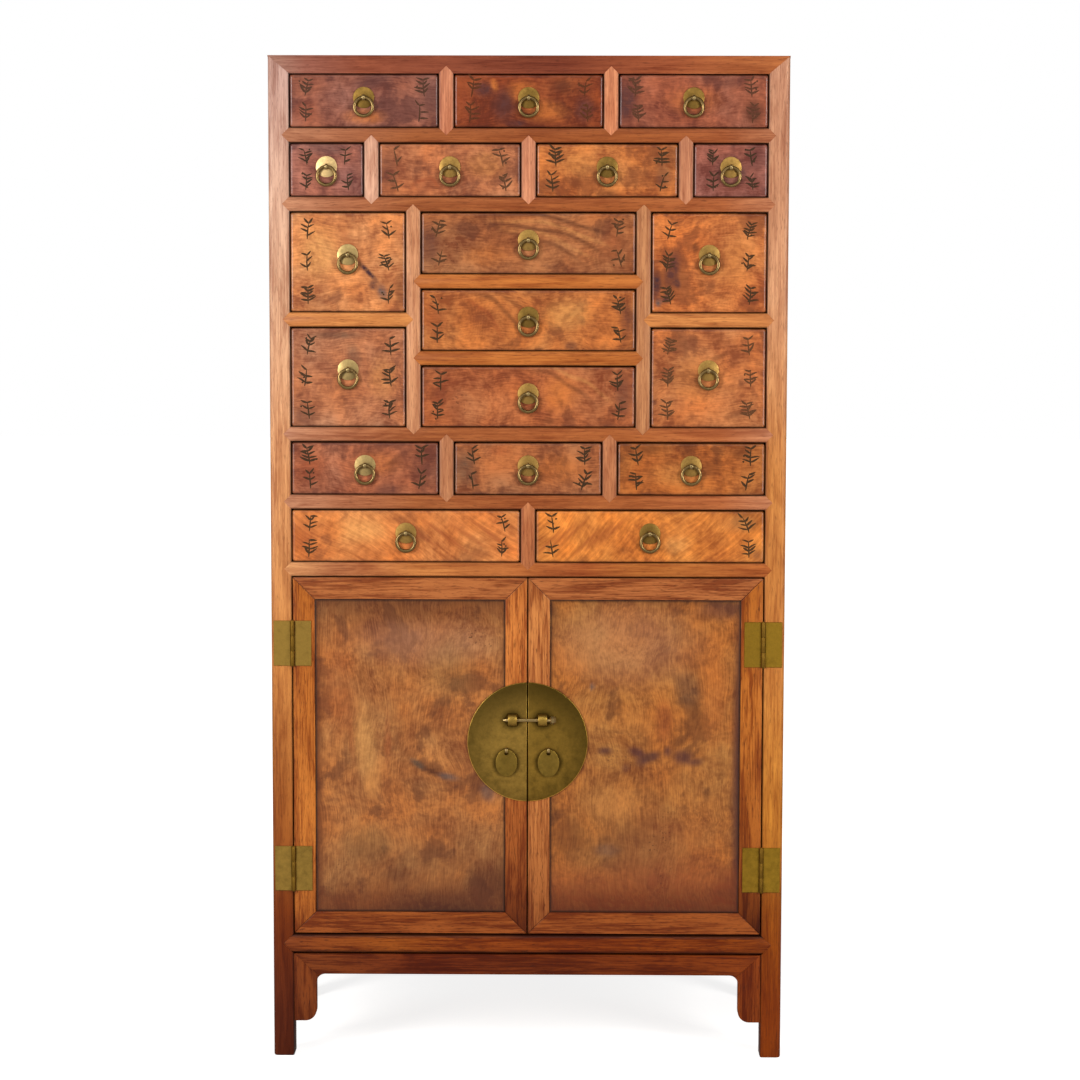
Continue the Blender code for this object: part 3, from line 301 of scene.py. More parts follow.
waxed_burl = burl("waxed_burl", 58.0, 1.0, 110.0, 0.6, (0.32, 0.46), 0.25, (45.0, 2.6, 0.35), 0.02, (0.66, 1.1))
feathered_burl = burl("feathered_burl", 90.0, 0.7, 200.0, 0.0, (0.32, 0.46), 0.25, (130.0, 5.0, 0.3), 0.0,
                      (0.66, 1.1))
waxed_burl_panel = burl("waxed_burl_panel", 62.0, 0.72, 150.0, 0.7, (0.34, 0.48), 0.15, (50.0, 2.4, 0.4), 0.014,
                        (0.86, 1.05))
print("burl finishes", waxed_burl.name, feathered_burl.name, waxed_burl_panel.name)

# %% [markdown]
# ## Brass
# The plates, hinges and lock are sheet brass that has gone olive with age. The rings and the pin are handled every
# day, so they stay paler and smoother. A metal's colour sits in its reflection, so all are fully metallic, and the
# patina is a noise that moves the colour and the roughness together. Each fitting carries its own "tint", because no
# two plates have aged alike.

# %% Aged brass
def brass(name, rough, spot, uneven, painted_shade_and_patina=()):
    """Brass with patina spots of a size in mm, and painted shade and patina from one distance of a point to another.
    """
    material, tree, shader = new_material(name)
    shader.inputs["Metallic"].default_value = 1.0
    tint = add(tree, "Attribute", attribute_name="tint", out="Color")
    place = add(tree, "TexCoord", out="Object")
    spots = add(tree, "TexNoise", {"Vector": place, "Scale": 1000 / spot, "Detail": 6.0, "Roughness": 0.65})
    patina = add(tree, "MapRange", {
        "Value": spots, "From Min": 0.32, "From Max": 0.68, "To Min": 1 - uneven, "To Max": 1 + uneven})
    colour = add(tree, "VectorMath", {0: tint, "Scale": patina}, operation="SCALE")
    # Each entry darkens the brass round a point: painted shade, with patina.
    for centre, unshaded_at, dark, amount in painted_shade_and_patina:
        away = add(tree, "VectorMath", {0: place, 1: centre}, operation="DISTANCE", out="Value")
        shade = add(tree, "MapRange", {
            "Value": away, "From Min": unshaded_at, "From Max": dark, "To Max": amount},
            interpolation_type="SMOOTHSTEP")
        colour = add(tree, "Mix", {0: shade, 6: colour, 7: linear("#3a2d0e")}, data_type="RGBA", out=2)
    tree.links.new(colour, shader.inputs["Base Color"])
    dull = add(tree, "MapRange", {
        "Value": spots, "From Min": 0.3, "From Max": 0.7, "To Min": rough[1], "To Max": rough[0]})
    tree.links.new(dull, shader.inputs["Roughness"])
    return material


LOCK_Z, KNUCKLE_X, KNUCKLE_Z, OVAL_X, OVAL_Z = 0.589, 0.0275, 0.630, 0.0385, 0.551
# The plate darkens towards its rim, partly patina and partly a painted dark reflection. Round each knuckle and under
# each oval the darkening is a painted shadow.
lock_shade_patina = [((0.0, FRONT, LOCK_Z - 0.02), 0.045, 0.135, 0.85)]
lock_shade_patina += [((x, FRONT, KNUCKLE_Z), 0.026, 0.010, 0.8) for x in (-KNUCKLE_X, KNUCKLE_X)]
lock_shade_patina += [((x, FRONT, OVAL_Z), 0.031, 0.020, 0.75) for x in (-OVAL_X, OVAL_X)]
aged_brass = brass("aged_brass", (0.38, 0.58), 12.0, 0.3)
lock_brass = brass("lock_sheet_brass", (0.38, 0.56), 16.0, 0.42, lock_shade_patina)
dull_brass = brass("dull_brass", (0.55, 0.68), 6.0, 0.12)
handled_brass = brass("handled_brass", (0.30, 0.40), 14.0, 0.06)
BRASS = {"plate": "#9c793f", "dark_plate": "#82642f", "pale_plate": "#ad925e", "bare_plate": "#d2b27a",
         "ring": "#806840", "eye": "#a99161", "hinge_left": "#987837", "hinge_right": "#997626",
         "barrel": "#75571f", "lock_left": "#9d7b37", "lock_right": "#8c6c2b",
         "oval": "#80662a", "knuckle": "#9d7d39", "foot": "#483511", "pin": "#a58c5c"}
print("brass finishes", aged_brass.name, lock_brass.name, handled_brass.name)

# %% [markdown]
# ## Boards
# Most pieces are flat boards. A board starts as an outline of a few corners, which is extruded to its thickness. Its
# front edges get a fine bevel: where two boards meet, the two bevels make the dark seam that the eye reads as a joint.


# %% Shapes of boards
SEAM = 0.0009  # the bevel at a joint
SAME = 1e-5  # two levels nearer than this are one


def thicken(shape, step):
    """Extrudes the faces of a shape by a step, keeps the first ones, and turns all normals outwards."""
    swept = bmesh.ops.extrude_face_region(shape, geom=shape.faces[:], use_keep_orig=True)["geom"]
    bmesh.ops.translate(shape, vec=step, verts=[v for v in swept if isinstance(v, bmesh.types.BMVert)])
    bmesh.ops.recalc_face_normals(shape, faces=shape.faces)


def board(outline, along, start, end):
    """A board with this outline, extruded along an axis from one level to another."""
    axis = "XYZ".index(along)
    shape = bmesh.new()
    shape.faces.new([shape.verts.new([*pair[:axis], start, *pair[axis:]]) for pair in outline])
    step = Vector((0, 0, 0))
    step[axis] = end - start
    thicken(shape, step)
    return shape


def plank(x, y, z, soft=0.0008):
    """A straight board between limits, with all its edges a little softened."""
    low = Vector([min(pair) for pair in (x, y, z)])
    high = Vector([max(pair) for pair in (x, y, z)])
    shape = bmesh.new()
    place = Matrix.Translation((low + high) / 2) @ Matrix.Diagonal((*(high - low), 1))
    bmesh.ops.create_cube(shape, size=1, matrix=place)
    ease(shape, shape.edges[:], soft)
    return shape


def ease(shape, edges, radius, segments=1):
    """Rounds or bevels some edges."""
    bmesh.ops.bevel(shape, geom=edges, offset=radius, segments=segments, profile=0.5, affect="EDGES",
                    material=-1, clamp_overlap=True)


def arrises(shape, axis, level):
    """The sharp edges that lie in a plane square to an axis."""
    n = "XYZ".index(axis)
    return [e for e in shape.edges
            if all(abs(v.co[n] - level) < SAME for v in e.verts) and e.calc_face_angle(0.0) > 0.5]


def round_member(shape, grain, radius, face=0.0):
    """Rounds the long front edges of a frame member, and bevels the edges of its joints finely."""
    n = "XYZ".index(grain)

    def slant(edge):
        return abs((edge.verts[1].co - edge.verts[0].co).normalized()[n])

    ease(shape, [e for e in arrises(shape, "Y", face) if slant(e) > 0.99], radius, 4)
    ease(shape, [e for e in arrises(shape, "Y", face) if 0.1 < slant(e) < 0.99], SEAM, 2)


# %% Cutting and joining
def cut_off(shape, point, normal):
    """Cuts a shape by a plane, drops the side that the normal points to, and closes the cut."""
    geometry = shape.verts[:] + shape.edges[:] + shape.faces[:]
    cut = bmesh.ops.bisect_plane(shape, geom=geometry, plane_co=point, plane_no=normal, clear_outer=True)
    rim = [e for e in cut["geom_cut"] if isinstance(e, bmesh.types.BMEdge)]
    bmesh.ops.edgenet_fill(shape, edges=rim)
    bmesh.ops.recalc_face_normals(shape, faces=shape.faces)


def slices(shape, axis, levels):
    """Cuts a shape across at several levels, so that it has corners there to carry a tint."""
    normal = Vector([float(letter == axis) for letter in "XYZ"])
    for level in levels:
        geometry = shape.verts[:] + shape.edges[:] + shape.faces[:]
        bmesh.ops.bisect_plane(shape, geom=geometry, plane_co=normal * level, plane_no=normal)


def joined(*shapes):
    """Several shapes in one bmesh."""
    whole = bmesh.new()
    for shape in shapes:
        mesh = bpy.data.meshes.new("part")
        shape.to_mesh(mesh)
        shape.free()
        whole.from_mesh(mesh)
        bpy.data.meshes.remove(mesh)
    return whole


def carved(shape, cutter):
    """One shape with another cut out of it by a Boolean."""
    made = []
    for part in (shape, cutter):
        mesh = bpy.data.meshes.new("carving")
        part.to_mesh(mesh)
        part.free()
        made.append(bpy.data.objects.new("carving", mesh))
        scene.collection.objects.link(made[-1])
    chisel = made[0].modifiers.new("cut", "BOOLEAN")
    chisel.operation, chisel.solver, chisel.object = "DIFFERENCE", "EXACT", made[1]
    bpy.context.view_layer.update()
    result = bmesh.new()
    result.from_object(made[0], bpy.context.evaluated_depsgraph_get())
    for item in made:
        mesh = item.data
        bpy.data.objects.remove(item)
        bpy.data.meshes.remove(mesh)
    return result


# %% [markdown]
# ## Pieces
# A piece carries the way of its grain, the tint of its board and the painted shade of its seams as attributes of its
# mesh, which the materials above read. A seed from its name shifts the grain, so that no two boards are alike.

# %% Pieces
# How deep the painted shade of a seam grows behind the face, where it stops, and how dark it gets.
SEAM_DEEP, SEAM_END, SEAM_DARK = 0.0030, 0.015, 0.9
GRAIN_ORDER = {"X": (0, 1, 2), "Y": (1, 0, 2), "Z": (2, 0, 1)}
PLAIN = "#ffffff"  # for a board that then gets a ramp of tints


def store(mesh, name, kind, values):
    """Writes one value for each vertex into an attribute of the mesh."""
    field = {"FLOAT": "value", "FLOAT_VECTOR": "vector", "FLOAT_COLOR": "color"}[kind]
    layer = mesh.attributes.new(name, kind, "POINT")
    layer.data.foreach_set(field, np.asarray(values, np.float32).ravel())


def places(mesh):
    """The vertices of a mesh as rows of x, y and z."""
    flat = np.empty(len(mesh.vertices) * 3, np.float32)
    mesh.vertices.foreach_get("co", flat)
    return flat.reshape(-1, 3)


def add_piece(name, shape, body, finish, slot=None, tint=None, grain="X", vary=0.05, face=None, within=9.0,
              stands_for=()):
    """Makes an object of a shape laid out from the front plane, sets it in its place, and lets it ride a body.

    Where the level of its front face is given, a painted shade darkens it just behind that face, in the seam with
    its neighbour, within a half width.
    """
    bmesh.ops.translate(shape, vec=(0, FRONT, 0), verts=shape.verts)
    mesh = bpy.data.meshes.new(name)
    shape.to_mesh(mesh)
    shape.free()
    mesh.materials.append(finish)
    mesh.shade_smooth()
    mesh.set_sharp_from_angle(angle=math.radians(32))
    if tint:
        chance = random.Random(name)
        offset = [chance.uniform(0, 9) for _ in range(3)]
        lift = 1 + chance.uniform(-vary, vary)
        store(mesh, "grain", "FLOAT_VECTOR", places(mesh)[:, GRAIN_ORDER[grain]] + offset)
        colour = [value * lift for value in linear(tint)[:3]] + [1.0]
        store(mesh, "tint", "FLOAT_COLOR", np.tile(colour, (len(mesh.vertices), 1)))
    if face is not None:
        # Painted shade in the seam: it darkens the sides just behind the face.
        behind = places(mesh)[:, 1] - FRONT - face
        seam = (np.abs(places(mesh)[:, 0]) < within) & (behind < SEAM_END)
        store(mesh, "edge", "FLOAT", SEAM_DARK * np.clip(behind / SEAM_DEEP, 0, 1) * seam)
    piece = bpy.data.objects.new(name, mesh)
    scene.collection.objects.link(piece)
    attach(piece, body)
    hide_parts(*stands_for)
    return piece


def case_board(name, shape, tint, grain, finish=waxed_hardwood, **more):
    """A waxed board of the case."""
    return add_piece(name, shape, "case", finish, "frame_wood", tint, grain, **more)


def inside_board(name, shape, grain, body="case"):
    """A board inside the case or a drawer, which was never waxed."""
    return add_piece(name, shape, body, plain_softwood, tint=WOOD["inside"], grain=grain)


def fitting(name, shape, body, finish, tint, stands_for=()):
    """A brass fitting."""
    slot = "ring_brass" if finish is handled_brass else "aged_brass"
    return add_piece(name, shape, body, finish, slot, BRASS[tint], stands_for=stands_for)


def ramp(piece, axis, stops):
    """Tints a piece by the place of each of its corners along an axis, between stops of a place and a colour."""
    at = places(piece.data)[:, "XYZ".index(axis)]
    tints = np.array([linear(code) for _, code in stops])
    shades = np.column_stack([np.interp(at, [place for place, _ in stops], tints[:, n]) for n in range(4)])
    piece.data.attributes["tint"].data.foreach_set("color", shades.astype(np.float32).ravel())


def shade(piece, axis, stops):
    """Darkens or lightens a piece along an axis, between stops of a place and a factor: the darker, the redder."""
    at = places(piece.data)[:, "XYZ".index(axis)]
    layer = piece.data.attributes["tint"].data
    shades = np.empty(len(at) * 4, np.float32)
    layer.foreach_get("color", shades)
    factor = np.interp(at, [place for place, _ in stops], [amount for _, amount in stops])
    warm = np.column_stack([factor, factor**1.35, factor**1.5, np.ones(len(at))])
    layer.foreach_set("color", (shades.reshape(-1, 4) * warm).astype(np.float32).ravel())


# %% [markdown]
# ## Measures of the case
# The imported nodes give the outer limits, and a few more sizes are repeated from the part. Openings are listed from
# the left post to the right one, with a stile between neighbours, and from the top rail down.

# %% Measures of the case
GAP = 0.0003
WIDTH, DEPTH, HEIGHT = 0.936, 0.460, 1.830
POST, POST_ROUND, FOOT_WEAR, MEMBER_ROUND = 0.038, 0.007, 0.003, 0.0042
RAIL, RAIL_DEPTH = 0.027, 0.030
TOP_RAIL, TOP_MEMBER, TOP_PANEL, TOP_PANEL_DROP = 0.032, 0.060, 0.012, 0.001
PANEL, PANEL_INSET = 0.010, 0.004
BOARD, GUIDE, GROOVE = 0.010, 0.015, 0.006
SPARE = 0.001  # how far a board runs past the place where it is cut off
SIDES = ((-1, "left"), (1, "right"))
INNER = WIDTH / 2 - POST
SIDE_INNER = DEPTH / 2 - POST
CASE_TOP = HEIGHT - TOP_RAIL
BACK = DEPTH - PANEL_INSET - PANEL

BOTTOM_RAIL = (0.192, 0.230)
DOORS = (0.230, 0.892)
ROWS = {1: (1.702, 1.798), 2: (1.579, 1.675), 3: (1.165, 1.552), 4: (1.042, 1.138), 5: (0.919, 1.015)}
RAILS = {row: (z[0] - RAIL, z[0]) for row, z in ROWS.items()}
SMALL, SIDE_COLUMN = 0.134, 0.209
INSIDE = 2 * INNER
WIDTHS = {
    1: [(INSIDE - 2 * RAIL) / 3] * 3,
    2: [SMALL, (INSIDE - 3 * RAIL) / 2 - SMALL, (INSIDE - 3 * RAIL) / 2 - SMALL, SMALL],
    3: [SIDE_COLUMN, INSIDE - 2 * RAIL - 2 * SIDE_COLUMN, SIDE_COLUMN],
    4: [(INSIDE - 2 * RAIL) / 3] * 3,
    5: [(INSIDE - RAIL) / 2] * 2,
}


def openings(widths):
    """The X limits of openings beside one another, from the left post, with a stile between neighbours."""
    left, found = -INNER, []
    for width in widths:
        found.append((left, left + width))
        left += width + RAIL
    return found


def levels(count, z):
    """The Z limits of openings under one another, from the top, with a rail between neighbours."""
    height = (z[1] - z[0] - (count - 1) * RAIL) / count
    return [(z[1] - n * (height + RAIL) - height, z[1] - n * (height + RAIL)) for n in range(count)]


BAYS = {row: openings(widths) for row, widths in WIDTHS.items()}
STILES = {row: [(a[1], b[0]) for a, b in zip(bays, bays[1:])] for row, bays in BAYS.items()}
TALL, CENTRE = levels(2, ROWS[3]), levels(3, ROWS[3])
SIDE_SHORT = (TALL[0][0] - RAIL, TALL[0][0])
CENTRE_SHORT = [(z[0] - RAIL, z[0]) for z in CENTRE[:-1]]
SIDE_MID = (RAILS[5][1] - 2 * GAP - BOARD - RAIL, RAILS[5][1] - 2 * GAP - BOARD)
print("stiles per row", {row: len(found) for row, found in STILES.items()})

# %% [markdown]
# ## Rails, stiles and posts with pointed joints
# Each rail ends in a point that is let into the post, and each stile has a point at both ends that is let into the
# rails. Cut at forty-five degrees, the points lock the frame and hide the tenons. An outline with points on one piece
# and matching notches on its neighbour gives the joint as the maker cuts it.

# %% Pointed outlines
# The stiles are paler and pinker than the rails: a painted sheen, where the side lights catch their upright grain.
WOOD = {
    "stile_1_1": "#ad6d53", "stile_1_2": "#bb7757", "stile_2_1": "#bc8d7a", "stile_2_2": "#b27459",
    "stile_2_3": "#aa7055", "stile_3_1": "#b0795a", "stile_3_2": "#a46e4c", "stile_4_1": "#a16a4c",
    "stile_4_2": "#a36747", "stile_5_1": "#a66643",
    "short_rail": "#b06f3f", "short_rail_centre": "#a05b2b", "door_hinge_left": "#9c5824",
    "door_meeting_left": "#a7602e", "door_hinge_right": "#95521f", "door_meeting_right": "#a36336",
    "door_top": "#8b4e2b", "door_bottom": "#7c3d19", "side": "#8d4e2c", "side_apron": "#622c15",
    "side_rail": "#9a5936", "inside": "#a37a50", "back": "#7a4e31",
}
# Tints along the rails from left to right. The ends are paler and pinker, a painted sheen where the side lights catch
# them, and the lowest rails are darker, partly in the wood and partly painted shade where less light reaches them.
RAIL_TINTS = [(-0.43, "#a06c54"), (-0.33, "#91583e"), (-0.2, "#8a4e2d"), (0.0, "#874928"), (0.2, "#8a4b28"),
              (0.35, "#91502f"), (0.43, "#a06549")]
LAST_RAIL_TINTS = [(-0.43, "#b88058"), (-0.33, "#94583a"), (-0.2, "#a66638"), (0.1, "#8e4a26"), (0.22, "#9c5c2c"),
                   (0.43, "#945028")]
TOP_TINTS = [(-0.46, "#8e685e"), (-0.4, "#804d42"), (-0.3, "#763c2a"), (0.05, "#6a3222"), (0.25, "#824228"),
             (0.43, "#965530")]
BOTTOM_TINTS = [(-0.43, "#6a3013"), (-0.25, "#7a3b11"), (-0.1, "#72320d"), (0.1, "#692a08"), (0.22, "#76340b"),
                (0.43, "#6d2f09")]
APRON_TINTS = [(-0.4, "#652e12"), (-0.2, "#561f09"), (0.0, "#5b240a"), (0.3, "#632809"), (0.42, "#6d2e0d")]
RAIL_SHADES = {1: 0.89, 2: 1.0, 3: 1.1, 4: 1.06, 5: 1.0}
RAIL_LEVELS = [n / 20 for n in range(-9, 10)]


def notched(line, notches, depth_to):
    """A straight edge from one end to the other with a V cut at each pair of limits."""
    path = []
    for a, b in notches:
        path += [(a, line), ((a + b) / 2, line + depth_to * abs(b - a) / 2), (b, line)]
    return path


def rail_outline(x, z, above=(), below=(), points=(True, True)):
    """A rail from left to right: a point at each end, and notches for the stiles above and below it."""
    middle, half = sum(z) / 2, (z[1] - z[0]) / 2
    path = [(x[0], z[0])] + notched(z[0], below, 1) + [(x[1], z[0])]
    path += [(x[1] + half, middle)] if points[1] else []
    path += [(x[1], z[1])] + notched(z[1], [pair[::-1] for pair in reversed(above)], -1) + [(x[0], z[1])]
    path += [(x[0] - half, middle)] if points[0] else []
    return path


def stile_outline(x, z, left=(), right=()):
    """A stile from bottom to top: a point at each end, and notches for the short rails on either side."""
    middle, half = sum(x) / 2, (x[1] - x[0]) / 2
    path = [(middle, z[0] - half), (x[1], z[0])]
    path += [(b, a) for a, b in notched(x[1], right, -1)]
    path += [(x[1], z[1]), (middle, z[1] + half), (x[0], z[1])]
    path += [(b, a) for a, b in notched(x[0], [pair[::-1] for pair in reversed(left)], 1)]
    return path + [(x[0], z[0])]


def front_member(name, outline, grain, tint=PLAIN, stops=None, radius=MEMBER_ROUND, **more):
    """A board of the front frame, in one tint or with a ramp of tints from left to right."""
    shape = board(outline, "Y", 0.0, RAIL_DEPTH)
    if stops:
        slices(shape, "X", RAIL_LEVELS)
    round_member(shape, grain, radius)
    made = case_board(name, shape, tint, grain, face=0.0, **more)
    if stops:
        ramp(made, "X", stops)
    return made


# %% Rails and stiles
for row, z in RAILS.items():
    below = STILES.get(row + 1, [])
    made = front_member(f"rail_under_row_{row}", rail_outline((-INNER, INNER), z, STILES[row], below), "X",
                        stops=LAST_RAIL_TINTS if row == 5 else RAIL_TINTS, stands_for=[f"row_{row}_frame"])
    shade(made, "X", [(0.0, RAIL_SHADES[row])])
    sides = {3: ([SIDE_SHORT], CENTRE_SHORT[::-1])}.get(row, ((), ()))
    for n, x in enumerate(STILES[row]):
        left, right = sides if n == 0 else sides[::-1]
        name = f"stile_{row}_{n + 1}"
        front_member(name, stile_outline(x, ROWS[row], left, right), "Z", WOOD[name], vary=0.0)
DOOR_SILL_ROUND = 0.010
front_member("rail_under_doors", rail_outline((-INNER, INNER), BOTTOM_RAIL), "X", stops=BOTTOM_TINTS,
             finish=bold_hardwood, radius=DOOR_SILL_ROUND, stands_for=["cupboard_floor"])
column_left, column_centre, column_right = BAYS[3]
for word, x in (("left", column_left), ("right", column_right)):
    front_member(f"short_rail_{word}", rail_outline(x, SIDE_SHORT), "X", WOOD["short_rail"])
for word, z in zip(("upper", "lower"), CENTRE_SHORT):
    front_member(f"short_rail_centre_{word}", rail_outline(column_centre, z), "X", WOOD["short_rail_centre"])

# %% [markdown]
# The posts are square, with the outer corner rounded, and run down as the feet. At the top each post meets two rails
# in a three-way mitre: two sloping cuts leave a point at the corner. The sockets for the side rails lie on another
# face, so a Boolean cuts them.


# %% Posts
def side_socket(side, near, z):
    """The point of a side rail, as a cutter in the side face of a post."""
    middle, half = sum(z) / 2, (z[1] - z[0]) / 2
    into = -1 if near < DEPTH / 2 else 1
    start = near - into * SPARE
    outline = [(start, z[0] - SPARE), (start, z[1] + SPARE), (near + into * half, middle)]
    return board(outline, "X", side * (WIDTH / 2 + 2 * SPARE), side * (WIDTH / 2 - RAIL_DEPTH))


# A few tints up each post. The legs are darker, partly in the wood and partly painted shade where less light reaches
# them, and the upper parts are paler and pinker: a painted sheen, where the side lights catch them.
POST_TINTS = {
    "left": [(0.1, "#4c1c0a"), (0.26, "#602608"), (0.45, "#8a4c20"), (0.75, "#aa6c3a"), (1.1, "#b67e58"),
             (1.4, "#bc9078"), (1.8, "#a8847e")],
    "right": [(0.1, "#743006"), (0.26, "#7c3c0a"), (0.45, "#aa6a28"), (0.75, "#ac6c36"), (1.1, "#ac6e3c"),
              (1.4, "#b27e60"), (1.8, "#a87660")],
}
TINT_STEP, SEAM_OUT = 0.045, 0.004


def post(side, word, rear):
    """A post at one side, in front or at the rear, with notches for the rails that meet it."""
    outer, inner = side * WIDTH / 2, side * INNER
    path = [(outer, 0.0), (outer, HEIGHT + SPARE), (inner, HEIGHT + SPARE)]
    if not rear:
        sockets = sorted([*RAILS.values(), SIDE_SHORT, BOTTOM_RAIL], reverse=True)
        for z in sockets:
            half = (z[1] - z[0]) / 2
            path += [(inner, z[1]), (inner + side * half, sum(z) / 2), (inner, z[0])]
    path.append((inner, 0.0))
    face, near = (DEPTH, DEPTH - POST) if rear else (0.0, POST)
    shape = board(path, "Y", face, near)
    corner = [e for e in shape.edges if all(abs(v.co.x - outer) + abs(v.co.y - face) < SAME for v in e.verts)]
    ease(shape, corner, POST_ROUND, 6)
    slices(shape, "Z", [n * TINT_STEP for n in range(1, 40)])
    cut_off(shape, (inner, 0, CASE_TOP), (-side * TOP_RAIL, 0, POST))
    cut_off(shape, (0, near, CASE_TOP), (0, TOP_RAIL * (-1 if rear else 1), POST))
    round_member(shape, "Z", MEMBER_ROUND, face)
    ease(shape, [e for e in shape.edges if all(abs(v.co.z) < SAME for v in e.verts)], FOOT_WEAR, 2)
    shape = carved(shape, joined(*[side_socket(side, near, z) for z in (BOTTOM_RAIL, SIDE_MID)]))
    place = "rear" if rear else "front"
    nodes = [f"front_post_{word}"] if not rear else ["back_frame"]
    made = case_board(f"post_{place}_{word}", shape, PLAIN, "Z", face=None if rear else 0.0, within=INNER + SEAM_OUT,
                      stands_for=nodes)
    ramp(made, "Z", POST_TINTS[word])
    return made


for side, word in SIDES:
    for rear in (False, True):
        made = post(side, word, rear)
        print(made.name, len(made.data.polygons), "faces")

# %% [markdown]
# The top is a frame of four mitred members round a thin panel, flush with the posts.

# %% Top
for word, y, inward in (("front", (0.0, TOP_MEMBER), 1), ("rear", (DEPTH, DEPTH - TOP_MEMBER), -1)):
    outline = [(-INNER, CASE_TOP)] + (notched(CASE_TOP, STILES[1], 1) if word == "front" else [])
    outline += [(INNER, CASE_TOP), (WIDTH / 2, HEIGHT), (-WIDTH / 2, HEIGHT)]
    shape = board(outline, "Y", *y)
    for side in (-1, 1):
        cut_off(shape, (side * WIDTH / 2, y[0], 0), (side, inward, 0))
    slices(shape, "X", RAIL_LEVELS)
    round_member(shape, "X", MEMBER_ROUND, y[0])
    made = case_board(f"top_rail_{word}", shape, PLAIN, "X", stands_for=["top_frame"] if word == "front" else [])
    ramp(made, "X", TOP_TINTS)
for side, word in SIDES:
    outline = [(POST, CASE_TOP), (DEPTH - POST, CASE_TOP), (DEPTH, HEIGHT), (0.0, HEIGHT)]
    shape = board(outline, "X", side * WIDTH / 2, side * (WIDTH / 2 - TOP_MEMBER))
    for y, inward in ((0.0, 1), (DEPTH, -1)):
        cut_off(shape, (side * WIDTH / 2, y, 0), (-side, -inward, 0))
    ease(shape, arrises(shape, "X", side * WIDTH / 2), SEAM)
    case_board(f"top_rail_{word}", shape, WOOD["side"], "Y")
inside_x, inside_y = WIDTH / 2 - TOP_MEMBER, (TOP_MEMBER, DEPTH - TOP_MEMBER)
top_panel = plank((-inside_x, inside_x), inside_y, (HEIGHT - TOP_PANEL, HEIGHT - TOP_PANEL_DROP))
case_board("top_panel", top_panel, WOOD["side"], "X")
print("top panel", round(2 * inside_x, 3), "wide")

# %% [markdown]
# ## Sides, back and floor
# The photograph shows only the front. The sides and the back follow the usual way for this kind of case: thin panels
# in grooves between the posts, a middle rail, a bottom rail, and aprons like the one in front.

# %% Aprons
LEG_CLEAR, APRON, SPANDREL, SPANDREL_DROP = 0.154, 0.038, 0.041, 0.088
FILLET, SPANDREL_ROUND = 0.016, 0.021
APRON_Y = (0.002, 0.020)


def apron_boards(end):
    """An apron and its two spandrels, cut apart at the mitres, between legs at this half width."""
    top, foot = LEG_CLEAR + APRON - GAP, LEG_CLEAR - SPANDREL_DROP
    right = [(end - SPANDREL, LEG_CLEAR), (end - SPANDREL, foot), (end, foot), (end, top)]
    outline = [(-x, z) for x, z in right[::-1]] + right
    boards = []
    for keep in (-1, 0, 1):
        shape = bmesh.new()
        shape.faces.new([shape.verts.new((x, APRON_Y[0], z)) for x, z in outline])
        for level, radius in ((LEG_CLEAR, FILLET), (foot, SPANDREL_ROUND)):
            turned = [v for v in shape.verts if abs(v.co.z - level) < GAP and abs(v.co.x) < end - GAP]
            bmesh.ops.bevel(shape, geom=turned, offset=radius, segments=8, profile=0.5, affect="VERTICES",
                            material=-1)
        thicken(shape, (0, APRON_Y[1] - APRON_Y[0], 0))
        for side in (-1, 1):
            outward = Vector((side * APRON, 0, -SPANDREL)).normalized()
            cut_off(shape, (side * end, 0, top), outward if keep in (0, -side) else -outward)
        slices(shape, "X", RAIL_LEVELS)
        ease(shape, arrises(shape, "Y", APRON_Y[0]), SEAM, 2)
        boards.append(shape)
    return boards


def to_side(shape, side):
    """Turns a shape that was laid out as a front so that its front is a side of the chest."""
    turn = Matrix.Translation((side * WIDTH / 2, DEPTH / 2, 0)) @ Matrix.Rotation(side * math.pi / 2, 4, "Z")
    bmesh.ops.transform(shape, matrix=turn, verts=shape.verts)
    return shape


for word, shape in zip(("spandrel_left", "apron", "spandrel_right"), apron_boards(INNER - GAP)):
    middle = word == "apron"
    made = case_board(f"{word}_front", shape, PLAIN, "X" if middle else "Z", bold_hardwood, face=APRON_Y[0],
                      stands_for=["front_apron"] if middle else [])
    ramp(made, "X", APRON_TINTS)
for side, word in SIDES:
    for name, shape in zip(("spandrel_1", "apron", "spandrel_2"), apron_boards(SIDE_INNER - GAP)):
        case_board(f"side_{word}_{name}", to_side(shape, side), WOOD["side_apron"], "Y" if name == "apron" else "Z")
print("aprons on", len(SIDES) + 1, "sides")

# %% Sides and back
SIDE_Y = (POST + GAP, DEPTH - POST - GAP)
PANEL_Z = (BOTTOM_RAIL[0] + GROOVE, CASE_TOP)
for side, word in SIDES:
    x = (side * (WIDTH / 2 - PANEL_INSET), side * (WIDTH / 2 - PANEL_INSET - PANEL))
    case_board(f"side_{word}_panel", plank(x, SIDE_Y, PANEL_Z), WOOD["side"], "Z", stands_for=[f"side_frame_{word}"])
    for name, z in (("bottom_rail", BOTTOM_RAIL), ("middle_rail", SIDE_MID)):
        shape = board(rail_outline((-SIDE_INNER, SIDE_INNER), z), "Y", 0.0, RAIL_DEPTH)
        ease(shape, arrises(shape, "Y", 0.0), SEAM)
        case_board(f"side_{word}_{name}", to_side(shape, side), WOOD["side_rail"], "Y")
    bearers = []
    for z in [*list(RAILS.values())[:-1], SIDE_SHORT]:
        top = z[1] - 2 * GAP - BOARD
        bearers.append(plank((side * (INNER + GROOVE), x[1]), SIDE_Y, (top - GUIDE, top)))
    inside_board(f"side_{word}_bearers", joined(*bearers), "Y")
case_board("back_panel", plank((-INNER, INNER), (BACK, DEPTH - PANEL_INSET), PANEL_Z), WOOD["back"], "Z")
